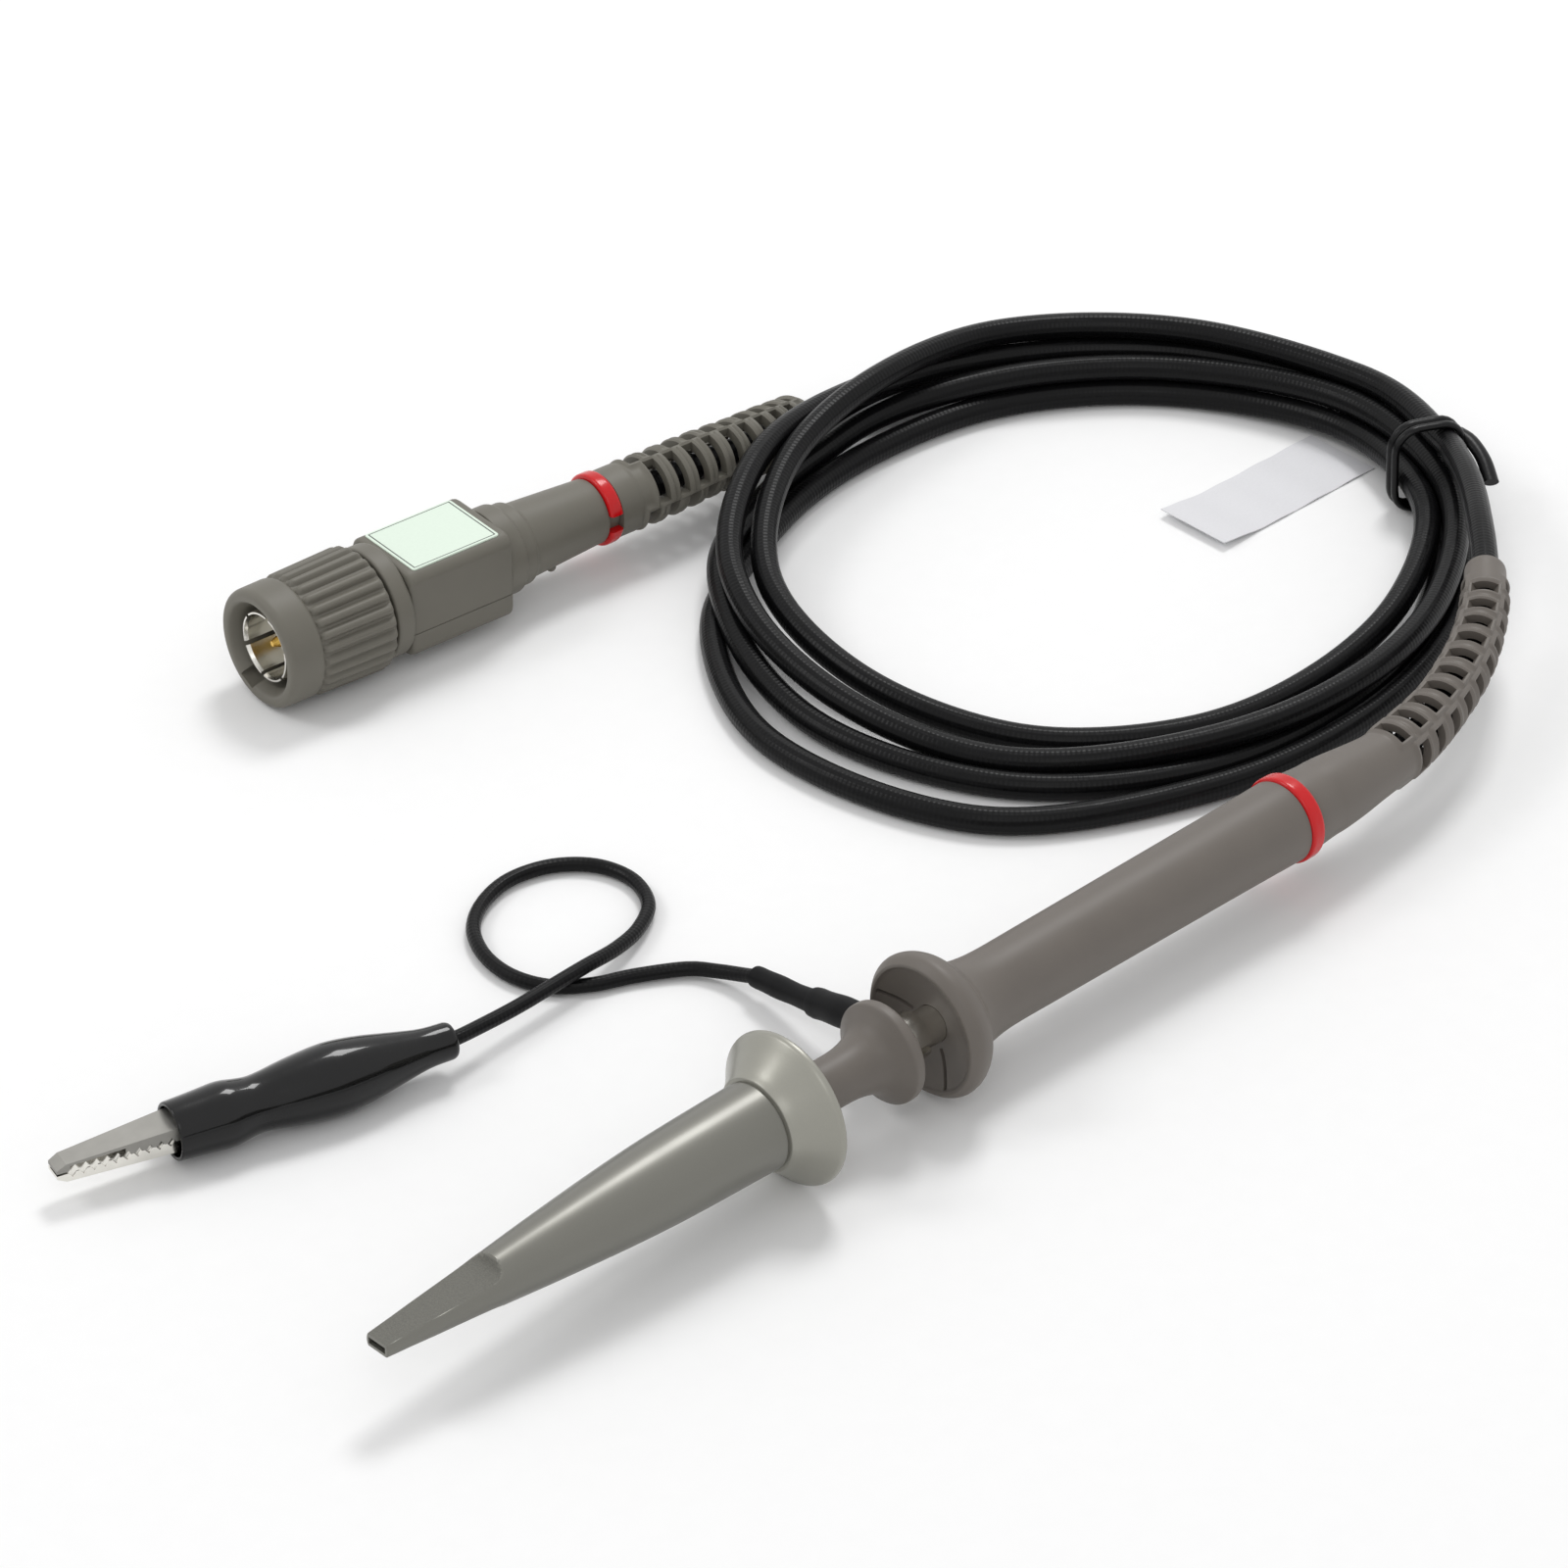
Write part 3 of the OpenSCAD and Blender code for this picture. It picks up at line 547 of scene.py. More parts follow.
def cut(piece, place, *cutters):
    """Takes cutters, given in a frame in millimetres, out of a piece."""
    for points, faces in cutters:
        mesh = bpy.data.meshes.new("cutter")
        mesh.from_pydata([place @ Vector(point) * MM for point in points], [], faces)
        orient(mesh)
        tool = bpy.data.objects.new("cutter", mesh)
        bpy.context.scene.collection.objects.link(tool)
        change = piece.modifiers.new("cut", "BOOLEAN")
        change.operation = "DIFFERENCE"
        change.solver = "EXACT"
        change.object = tool
        bpy.context.view_layer.update()
        solid = piece.evaluated_get(bpy.context.evaluated_depsgraph_get())
        result = bpy.data.meshes.new_from_object(solid)
        piece.modifiers.remove(change)
        old = piece.data
        piece.data = result
        result.name = piece.name
        bpy.data.meshes.remove(old)
        bpy.data.objects.remove(tool)
    if len(piece.data.polygons) == 0:
        raise RuntimeError(f"{piece.name} was cut away")
    piece.data.set_sharp_from_angle(angle=SHARP_ANGLE)
    return piece


# --- paths ---------------------------------------------------------------------------------

def smooth_route(points, step):
    """Points about step apart on a smooth curve through the given ones."""
    given = [Vector(point) for point in points]
    given = [given[0] * 2 - given[1], *given, given[-1] * 2 - given[-2]]
    route = []
    for i in range(1, len(given) - 2):
        a, b, c, d = given[i - 1:i + 3]
        count = max(1, round((c - b).length / step))
        for k in range(count):
            t = k / count
            route.append(0.5 * (2 * b + (c - a) * t + (2 * a - 5 * b + 4 * c - d) * t ** 2
                                + (3 * b - a - 3 * c + d) * t ** 3))
    route.append(given[-2])
    return route


def directions(route):
    """Direction of the route at each of its points."""
    last = len(route) - 1
    return [(route[min(i + 1, last)] - route[max(i - 1, 0)]).normalized()
            for i in range(len(route))]


def carried(route, first_side):
    """A side vector at each point of a route, carried along it without twist."""
    ways = directions(route)
    side = (first_side - ways[0] * first_side.dot(ways[0])).normalized()
    sides = [side]
    for way in ways[1:]:
        side = (side - way * side.dot(way)).normalized()
        sides.append(side)
    return ways, sides


def hose(name, route, radii, body, slot, replaced=(), around=20, first_side=Vector((0, 0, 1)),
         squash=1.0):
    """A solid cord along a route, with one radius or one for each point. squash widens it
    across its side. The map runs along it in millimetres."""
    ways, sides = carried(route, first_side)
    radii = radii if isinstance(radii, list) else [radii] * len(route)
    points = []
    run = [0.0]
    for i, (here, way, side) in enumerate(zip(route, ways, sides)):
        if i:
            run.append(run[-1] + (here - route[i - 1]).length)
        other = way.cross(side)
        for j in range(around):
            angle = FULL_TURN * j / around
            points.append(here + radii[i] * (math.cos(angle) * side
                                             + math.sin(angle) * squash * other))
    faces = quads(len(route), around)
    maps = []
    for face in range(len(faces)):
        i, j = divmod(face, around)
        for di, dj in ((0, 0), (0, 1), (1, 1), (1, 0)):
            maps.append((run[i + di], (j + dj) / around))
    last = len(points) - around
    faces += [tuple(range(around)), tuple(range(last, len(points)))]
    maps += [(0.0, k / around) for k in range(around)]
    maps += [(run[-1], k / around) for k in range(around)]
    return new_piece(name, points, faces, body, slot, replaced, None, maps)


# --- routes of the cords -------------------------------------------------------------------

# middle line of the cable in the handle's relief and up to the coil
PROBE_ROUTE = [
    (64, 0, 8.3), (68, 0, 8.3), (72, 0, 8.3), (77.2, 0.2, 8.3), (82.3, 1, 8.4),
    (87.3, 2.2, 8.6), (92.2, 3.9, 8.9), (96.9, 6, 9.2), (101.4, 8.6, 9.5), (105.6, 11.6, 9.9),
    (109.5, 15, 10.4), (113.2, 18.6, 10.7), (116.8, 22.4, 10.7), (120.3, 26.2, 10.3),
    (123.6, 30.2, 9.8), (126.6, 34.4, 9), (129.2, 38.9, 8.2)]
# and from the box to the coil
BOX_ROUTE = [
    (36, 96.5, 7.1), (44, 95.8, 7.1), (52, 95.1, 7.1), (58.7, 94.5, 7.1), (62.9, 94.3, 7),
    (67.1, 94.3, 6.8), (71.4, 94.4, 6.3), (75.6, 94.8, 5.7), (79.7, 95.5, 5), (83.8, 96.3, 4.1),
    (88, 96.7, 3.2), (92, 96.3, 2.4)]
LEAD_ROUTE = [
    (8.3, 22.6, 2.7), (8.2, 25, 2), (7.4, 28, 1.3), (5.6, 30.9, 1), (1, 33.8, 0.9),
    (-3, 35.6, 0.9), (-6.4, 38.4, 0.9), (-8, 42.5, 0.9), (-7.6, 47, 0.9), (-5.4, 51.2, 0.9),
    (-1.6, 54, 0.9), (3.2, 55.2, 0.9), (8, 54, 0.9), (11.4, 50.8, 0.9), (12.4, 46.4, 0.9),
    (10.6, 42, 0.95), (6.6, 39.2, 1.2), (2, 37.6, 1.8), (-3, 36.7, 2.6), (-8, 36.3, 2.8),
    (-13, 36, 2.9), (-18, 35.7, 3.3), (-22, 35.5, 3.75), (-24.9, 36.25, 3.75),
    (-28.8, 37.25, 3.75)]
BOOT_ROUTE = [(6.4, 3.2, 7.9), (6.7, 7, 7), (7.1, 11, 5.8), (7.6, 15, 4.5), (8, 19, 3.5),
              (8.3, 23.4, 2.6)]

# The coil: every turn starts at -30 degrees about the middle and has a station each 30 degrees
COIL_MIDDLE = Vector((90, 54, 0))
FIRST_STATION = -30
STATION = 30
TURN_RADII = [
    [42.5, 43.6, 43, 42.3, 36.6, 36.6, 37.7, 36.8, 35.3, 33.5, 31.8, 34],
    [38, 40.6, 38.7, 36.5, 35, 37.2, 43.5, 50.2, 51.2, 44.3, 40.4, 39.9],
    [41, 44, 43, 41.6, 39.7, 40.1, 42.1, 41.6, 42, 40, 38.2, 38.2],
    [40.5, 41.4, 39.4, 37.4, 38.7, 39.6, 43.1, 44.9, 43.8, 40.2, 37.4, 36.9],
    [38.9, 43, 41.8, 42]]
TURN_HEIGHTS = [
    [8.9, 7.3, 7.2, 7.2, 9.4, 8, 5.5, 3.5, 1.6, 1.5, 1.6, 3.4],
    [4.4, 2.7, 1.5, 1.5, 1.5, 1.5, 1.5, 1.5, 1.5, 1.5, 1.5, 1.5],
    [2.4, 4.2, 4.4, 4.4, 6.6, 8.2, 5.4, 3.6, 2.2, 2.6, 4.1, 4.5],
    [5.4, 5.3, 4.3, 4.2, 3.2, 1.7, 1.6, 1.5, 1.5, 1.5, 1.5, 1.5],
    [1.5, 1.5, 1.5, 1.5]]
RELIEF_SPAN = (58, 84.5)
RELIEF_RADIUS = 3.45


def coil_stations():
    """The stations of all turns but the first one, which PROBE_ROUTE passes itself."""
    stations = []
    pairs = [pair for radii, heights in zip(TURN_RADII, TURN_HEIGHTS)
             for pair in zip(radii, heights)]
    for i, (radius, height) in enumerate(pairs):
        angle = math.radians(FIRST_STATION + STATION * i)
        stations.append(COIL_MIDDLE + Vector((radius * math.cos(angle),
                                              radius * math.sin(angle), height)))
    return stations[1:]


def settle(route, held, thick, rounds, solid, radius):
    """Pushes the turns apart where they would run through each other, the table or a solid.
    held gives how many points stay at each end, and solid is a line with that radius."""
    wish = np.array(route, float)
    here = wish.copy()
    count = len(here)
    rows = np.arange(count)
    neighbours = 8
    far = np.abs(np.subtract.outer(rows, rows)) > neighbours
    free = np.ones(count)
    free[:held[0]] = 0
    free[count - held[1]:] = 0
    for _ in range(rounds):
        gap = here[:, None, :] - here[None, :, :]
        reach = np.linalg.norm(gap, axis=2) + 1e-9
        press = np.where(far & (reach < thick), (thick - reach) / reach, 0.0)
        push = 0.35 * (press[:, :, None] * gap).sum(1)
        off = here[:, None, :] - solid[None, :, :]
        span = np.linalg.norm(off, axis=2)
        near = span.argmin(1)
        closest = span[rows, near] + 1e-9
        lack = np.clip(radius + thick / 2 - closest, 0, None)
        push += 0.5 * (lack / closest)[:, None] * off[rows, near]
        here += push * free[:, None]
        drift = here - wish
        calm = drift.copy()
        calm[1:-1] = (drift[:-2] + 2 * drift[1:-1] + drift[2:]) / 4
        drift = drift + (calm - drift) * 0.8 * free[:, None]
        here = wish + drift * 0.998
        here[:, 2] = np.maximum(here[:, 2], thick / 2)
    return [Vector(point) for point in here]


def cable_route(thick):
    """The whole cable from the handle through the coil to the box. The turns settle between
    its ends and round the short relief, which spans RELIEF_SPAN along X."""
    step = 2.5
    box_end = smooth_route(BOX_ROUTE, step)
    probe_end = smooth_route(PROBE_ROUTE, step)
    rough = smooth_route(PROBE_ROUTE + coil_stations() + BOX_ROUTE[::-1][1:], step)
    relief = np.array([p for p in box_end if RELIEF_SPAN[0] < p.x < RELIEF_SPAN[1]], float)
    held = (len(probe_end) - 8, len(box_end) - 3)
    return smooth_route(settle(rough, held, thick, 160, relief, RELIEF_RADIUS), 1.2)


# --- windowed strain reliefs ---------------------------------------------------------------

def ladder(name, route, radii, wall, windows, body, slot, replaced, first_side, rim=0.26):
    """A bent tube with four rows of windows, each inside a raised rim. radii are stops for
    its outside. windows holds the first window's distance, the pitch, the width, where the
    last one may start and half the angle of each. Every other row is half a pitch further."""
    sides = 96
    ways, side_vectors = carried(route, first_side)
    run = [0.0]
    for i in range(1, len(route)):
        run.append(run[-1] + (route[i] - route[i - 1]).length)
    first, pitch, width, end, half_angle = windows

    def window_depth(distance, turn):
        """How deep inside a window's outline a place is, in millimetres; negative outside."""
        inside_radius = 3.0
        best = -9.0
        for row in range(4):
            swing = (turn - row * math.pi / 2 + math.pi) % FULL_TURN - math.pi
            start = first + (pitch / 2 if row % 2 else 0)
            index = max(0, min(round((distance - start) / pitch), int((end - start) / pitch)))
            along = width / 2 - abs(distance - start - index * pitch)
            across = (half_angle - abs(swing)) * inside_radius
            best = max(best, min(along, across))
        return best

    outer = []
    inner = []
    for here, way, side, distance in zip(route, ways, side_vectors, run):
        other = way.cross(side)
        radius = between(distance, radii)
        for j in range(sides):
            angle = FULL_TURN * j / sides
            spoke = math.cos(angle) * side + math.sin(angle) * other
            # the rim is a soft ridge that stands 0.3 mm outside the window
            ridge = rim * math.exp(-((window_depth(distance, angle) + 0.3) / 0.28) ** 2)
            outer.append(here + spoke * (radius + ridge))
            inner.append(here + spoke * (radius - wall))
    rows = len(route)
    solid = [[window_depth((run[i] + run[i + 1]) / 2, FULL_TURN * (j + 0.5) / sides) < 0
              for j in range(sides)] for i in range(rows - 1)]
    shift = len(outer)
    faces = []
    for i in range(rows - 1):
        for j in range(sides):
            if not solid[i][j]:
                continue
            m = (j + 1) % sides
            a, b, c, d = i * sides + j, i * sides + m, (i + 1) * sides + m, (i + 1) * sides + j
            faces.append((a, b, c, d))
            faces.append((d + shift, c + shift, b + shift, a + shift))
            if i == 0 or not solid[i - 1][j]:
                faces.append((b, a, a + shift, b + shift))
            if i == rows - 2 or not solid[i + 1][j]:
                faces.append((d, c, c + shift, d + shift))
            if not solid[i][j - 1]:
                faces.append((a, d, d + shift, a + shift))
            if not solid[i][m]:
                faces.append((c, b, b + shift, c + shift))
    return new_piece(name, outer + inner, faces, body, slot, replaced)


def between(distance, stops, eased=True):
    """A value that runs through (distance, value) stops, eased or straight between them."""
    for (x0, v0), (x1, v1) in zip(stops, stops[1:]):
        if distance <= x1:
            t = max(0.0, (distance - x0) / (x1 - x0))
            return v0 + (v1 - v0) * (t * t * (3 - 2 * t) if eased else t)
    return stops[-1][1]


# --- operators -----------------------------------------------------------------------------

class ProbeStage(Operator):
    """Sets the table, the soft light and the camera"""
    bl_idname = "probe.stage"
    bl_label = "Stage"

    # name, place and size in metres, and power in watts
    LAMPS = (("key", (0.5, 0.32, 0.9), 0.3, 3.7), ("side", (-0.5, 0.55, 0.75), 0.3, 1.5),
             ("front", (-0.55, -0.6, 0.85), 0.5, 1.0))
    MIDDLE = Vector((0.035, 0.045, 0))
    # in millimetres
    CAMERA = Vector((-369.8, -375.5, 403.5))
    AIM = Vector((36.8, 49.1, 0))
    LENS = 154.1

    def execute(self, context):
        scene = context.scene
        scene.view_settings.view_transform = "Standard"
        table = bpy.data.meshes.new("table")
        reach = 3.0
        table.from_pydata([(x, y, 0) for x, y in ((-reach, -reach), (reach, -reach),
                                                  (reach, reach), (-reach, reach))],
                          [], [(0, 1, 2, 3)])
        floor = bpy.data.objects.new("table", table)
        scene.collection.objects.link(floor)
        pale = Finish("pale table", Specular_IOR_Level=0.1)
        table.materials.append(pale.surface(pale.grain(3.0), (0.93, 0.93, 0.93),
                                            (0.95, 0.95, 0.95), 0.9))
        self.light_world(scene)
        for name, place, size, power in self.LAMPS:
            lamp = bpy.data.lights.new(name, "AREA")
            lamp.shape = "SQUARE"
            lamp.size = size
            lamp.energy = power
            self.aimed(scene, name, lamp, Vector(place), self.MIDDLE)
        lens = bpy.data.cameras.new("camera")
        lens.lens = self.LENS
        lens.sensor_width = 36
        lens.clip_start = 0.02
        scene.camera = self.aimed(scene, "camera", lens, self.CAMERA * MM, self.AIM * MM)
        return {"FINISHED"}

    def aimed(self, scene, name, data, place, target):
        """A lamp or a camera at a place, turned to a target."""
        holder = bpy.data.objects.new(name, data)
        holder.location = place
        holder.rotation_euler = (target - place).to_track_quat("-Z", "Y").to_euler()
        scene.collection.objects.link(holder)
        return holder

    def light_world(self, scene):
        """An even pale world that the camera, metal and clear pieces see as white."""
        world = bpy.data.worlds.new("studio")
        scene.world = world
        world.use_nodes = True
        tree = world.node_tree
        tree.nodes.clear()
        rays = tree.nodes.new("ShaderNodeLightPath")
        seen = Value(tree, rays.outputs["Is Camera Ray"])
        for other in ("Is Glossy Ray", "Is Transmission Ray"):
            seen = seen.math("MAXIMUM", seen, Value(tree, rays.outputs[other]))
        sky = tree.nodes.new("ShaderNodeBackground")
        sky.inputs["Color"].default_value = (1, 1, 1, 1)
        feed(tree, sky.inputs["Strength"], seen * 0.34 + 0.66)
        output = tree.nodes.new("ShaderNodeOutputWorld")
        tree.links.new(sky.outputs[0], output.inputs[0])


class ProbeCable(Operator):
    """Lays the main cable from the handle through its coil to the box"""
    bl_idname = "probe.cable"
    bl_label = "Main cable"

    def execute(self, context):
        thick = context.scene.probe_sizes.cable_diameter / MM
        route = cable_route(thick)
        hose("main_cable", route, thick / 2, "probe", "cable_rubber",
             ("cable_lead_probe", "cable_coil", "cable_lead_comp"), around=24)
        context.scene["cable_route"] = [tuple(point * MM) for point in route]
        return {"FINISHED"}


class ProbeLead(Operator):
    """Lays the ground lead and its two shrunk sleeves"""
    bl_idname = "probe.lead"
    bl_label = "Ground lead"

    def execute(self, context):
        sizes = context.scene.probe_sizes
        radius = sizes.lead_diameter / MM / 2
        sleeve = smooth_route(BOOT_ROUTE, 0.6)
        lead = sleeve[:-1] + smooth_route([BOOT_ROUTE[-1]] + LEAD_ROUTE[1:], 0.8)
        hose("ground_lead", lead, radius, "probe", "cable_rubber", ("ground_cord",), around=18)
        context.scene["lead_route"] = [tuple(point * MM) for point in lead]
        # the thick sleeve ends a little past the place where the thin one begins
        thick_end, thin_start = int(len(sleeve) * 0.55), int(len(sleeve) * 0.5)
        self.shrunk("shrink_thick", sleeve[:thick_end], 1.62, "lead_boot_thick")
        self.shrunk("shrink_thin", sleeve[thin_start:], 1.2, "lead_boot_thin")
        return {"FINISHED"}

    def shrunk(self, name, route, radius, node):
        """A sleeve that draws in a little at both ends and over what it covers."""
        last = len(route) - 1
        radii = []
        for i in range(len(route)):
            edge = min(i, last - i) / last
            radii.append(radius * (0.95 + 0.05 * min(1, edge * 20))
                         * (1 + 0.03 * math.sin(i * 0.7)))
        hose(name, route, radii, "probe", "shrink_rubber", (node,), around=28)


class ProbeHandle(Operator):
    """Moulds the handle with its dished flange and the window of the slider"""
    bl_idname = "probe.handle"
    bl_label = "Handle"

    # degrees round the axis of the two grooves in the dished face
    GROOVES = (12, 240)

    def execute(self, context):
        low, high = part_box("handle")
        face = low.x / MM
        end = high.x / MM
        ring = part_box("ring_probe")[0].x / MM
        outline = [(face + 1.7, 2.03), (face + 1.4, 4.2, 1), (face + 0.4, 6.5, 0.8),
                   (face, 6.8, 0.1), (face, 7.1, 0.12), (face + 0.9, 7.9, 0.7),
                   (face + 2.1, 7.75, 0.8), (face + 3.3, 7.0, 0.8), (face + 4.1, 5.8, 0.8),
                   (face + 5.4, 4.8, 1.4), (face + 9, 4.2, 3), (ring - 7, 4.45, 3),
                   (ring, 4.55, 0.12), (ring, 3.9), (end, 3.9, 0.1), (end, 3),
                   (face + 4, 3), (face + 4, 2.03)]
        handle = lathe("handle_grip", HEAD, outline, "probe", "grip_plastic", ("handle",), 96)
        groove = block((face - 1, 2.7, -0.25), (face + 1.9, 6.65, 0.25))
        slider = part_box("switch_slider")
        travel = record_item(frame["joints"], "range_switch")["range_m"][1]
        window = block((slider[0].x / MM - 0.5, 2.4, -1.4),
                       ((slider[1].x + travel) / MM + 0.5, FAR, 1.4))
        cut(handle, HEAD, *(turned(angle, groove) for angle in self.GROOVES), window)
        return {"FINISHED"}


class ProbeHook(Operator):
    """Turns the hook tip: the barrel with its finger disc and the sleeve with its flat end"""
    bl_idname = "probe.hook"
    bl_label = "Hook tip"

    # where the collar with its painted highlight begins, where the flattened end stops, and how close its stations
    # are
    COLLAR = -14.05
    FLAT_END = -46.5
    FLAT_STEP = 0.15
    def execute(self, context):
        barrel = [(3.9, 2.05), (3.9, 5.35, 0.2), (3.6, 5.5, 0.2), (2.7, 5.5, 0.2),
                  (2.1, 4.7, 0.8), (1.0, 3.5, 1.0), (-0.6, 2.95, 1.4), (-2.4, 2.7, 1),
                  (-18, 2.7, 0.15), (-18, 1.9), (-35, 1.9, 0.1), (-35, 1.2), (-17.6, 1.2),
                  (-17.2, 2.05)]
        lathe("hook_core", HEAD, barrel, "tip", "grip_plastic", ("hook_barrel",), 80)
        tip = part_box("hook_sleeve")[0].x / MM
        outer = [(tip, 0.05), (tip, 1.5, 0.12), (-49, 2.66, 3), (-42.5, 3.3, 4), (-33, 4.1, 4),
                 (-26, 4.5, 4), (-14.2, 4.72), (-14.1, 4.6), (-13.95, 4.6), (-13.9, 5.05, 0.12),
                 (-13.1, 5.5, 0.8), (-11.5, 6.95, 1), (-10.25, 8.25, 0.3), (-9.75, 8.3, 0.2),
                 (-9.5, 8.1, 0.2), (-9.5, 7.7, 0.15), (-10.5, 6.3, 0.5), (-11.3, 4.6, 0.5),
                 (-11.4, 2.78, 0.1)]
        inner = [(-32.5, 2.78), (-32.5, 1.98), (-42.6, 1.98), (-42.6, 0.97), (tip + 8, 0.97),
                 (tip + 8, 0.05)]
        stations = self.refined(fillet(outer))
        shaped = len(stations)
        stations += inner
        # half the thickness of the flattened end, which grows into a round scoop
        halves = [(tip, 0.68), (-49.8, 1.42), (-49.0, 1.62), (-48.5, 1.95), (-48.1, 2.8),
                  (-47, FAR)]
        sides = 112
        points = []
        flat = []
        for i, (x, radius) in enumerate(stations):
            limit = between(x, halves, False) if i < shaped else FAR
            for j in range(sides):
                angle = FULL_TURN * (j + 0.5) / sides
                y, z = radius * math.cos(angle), radius * math.sin(angle)
                flat.append(abs(z) > limit)
                points.append(HEAD @ Vector((x, y, max(-limit, min(limit, z)))))
        faces = quads(len(stations), sides)
        # faces past COLLAR take the painted highlight (mark 2), and the flat faces take the sandy flat (mark 1)
        marks = [2 if stations[face[0] // sides][0] > self.COLLAR else
                 int(all(flat[index] for index in face)) for face in faces]
        faces += [tuple(range(sides)), tuple(range(len(points) - sides, len(points)))]
        marks += [0, 0]
        sleeve = new_piece("hook_shell", points, faces, "sleeve", "sleeve_plastic",
                           ("hook_sleeve",), marks, None, ("worn_flat", "pearl_light"))
        cut(sleeve, HEAD, block((tip - 1, -1.15, -0.36), (tip + 8.5, 1.15, 0.36)),
            drum((-18.2, 0, -3), (0, 0, -1), 0.35, 4, 16))
        return {"FINISHED"}

    def refined(self, stations):
        """The stations with closer ones along the flattened end."""
        close = []
        for start, end in zip(stations, stations[1:]):
            close.append(start)
            steps = int(abs(end[0] - start[0]) / self.FLAT_STEP) if end[0] < self.FLAT_END else 0
            for k in range(1, steps):
                t = k / steps
                close.append((start[0] + (end[0] - start[0]) * t,
                              start[1] + (end[1] - start[1]) * t))
        return close + [stations[-1]]


class ProbeReliefs(Operator):
    """Moulds the two windowed strain reliefs"""
    bl_idname = "probe.reliefs"
    bl_label = "Strain reliefs"

    STEP = 0.22

    def execute(self, context):
        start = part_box("ring_probe")[1].x / MM
        route = [(start, 0, 8.3), (start + 1.5, 0, 8.3), *PROBE_ROUTE[1:11]]
        radii = [(0, 4.25), (0.5, 4.3), (4, 4.1), (15, 3.3), (30, 2.85), (46, 2.5), (50.5, 2.3),
                 (52.2, 2.0)]
        ladder("relief_long", smooth_route(route, self.STEP), radii, 0.85,
               (15.6, 3.3, 1.6, 47.5, 0.56), "probe", "grip_plastic", ("relief_probe",),
               Vector((0, 0, 1)))
        route = [BOX @ Vector((TAIL_END, 0, 0)), BOX @ Vector((33, 0, 0)), *BOX_ROUTE[3:10]]
        radii = [(0, 4.0), (2.6, 4.0), (3.2, 3.82), (6, 3.75), (20, 3.5), (32, 3.2)]
        ladder("relief_short", smooth_route(route, self.STEP), radii, 0.9,
               (4.6, 2.75, 1.5, 29.5, 0.72), "probe", "box_plastic", ("relief_comp",),
               Vector((0, 0.9, 1)), rim=0.36)
        return {"FINISHED"}


class ProbeRings(Operator):
    """Moulds the two red rings"""
    bl_idname = "probe.rings"
    bl_label = "Red rings"

    def execute(self, context):
        low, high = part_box("ring_probe")
        a, b = low.x / MM, high.x / MM
        lathe("ring_head", HEAD, [(a, 3.92), (a, 4.6, 0.2), (a + 0.2, 4.85, 0.3),
                                  (b - 0.2, 4.85, 0.3), (b, 4.6, 0.2), (b, 3.92)],
              "probe", "red_plastic", ("ring_probe",), 88)
        ring = lathe("ring_box", BOX, [(28.45, 3.22), (28.45, 4.0, 0.15), (28.65, 4.25, 0.3),
                                       (29.95, 4.25, 0.3), (30.15, 4.0, 0.15), (30.15, 3.22)],
                     "probe", "red_plastic", ("ring_comp",), 88)
        cut(ring, BOX, block((27, -6, -1), (32, -1, 1)))
        return {"FINISHED"}


class ProbeClip(Operator):
    """Moulds the boot of the crocodile clip"""
    bl_idname = "probe.clip"
    bl_label = "Crocodile clip"

    def execute(self, context):
        outline = [(0, 0.85), (0, 1.7, 0.2), (0.4, 1.95, 0.3), (3, 2.0, 1.2), (6, 2.6, 2),
                   (9.5, 3.35, 2), (12.5, 3.75, 1.5), (14.5, 3.75, 2), (18, 3.4, 2),
                   (20.5, 3.0, 1.5), (22, 2.88, 0.8), (23.4, 3.1, 0.8), (25, 3.42, 1),
                   (28, 3.2, 2), (31, 3.05, 0.25), (31, 2.62, 0.2), (28, 2.8, 1), (25, 2.95, 1),
                   (22, 2.6, 1), (20, 2.75, 1), (17, 3.1, 1), (14.5, 3.3, 1), (12.5, 3.3, 1),
                   (9.5, 2.9, 1), (6, 2.2, 1), (4.2, 1.5, 0.3), (4.2, 0.85)]
        cover = lathe("clip_cover", CLIP, outline, None, "boot_vinyl", ("clip_boot",), 80)
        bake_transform(cover)
        return {"FINISHED"}


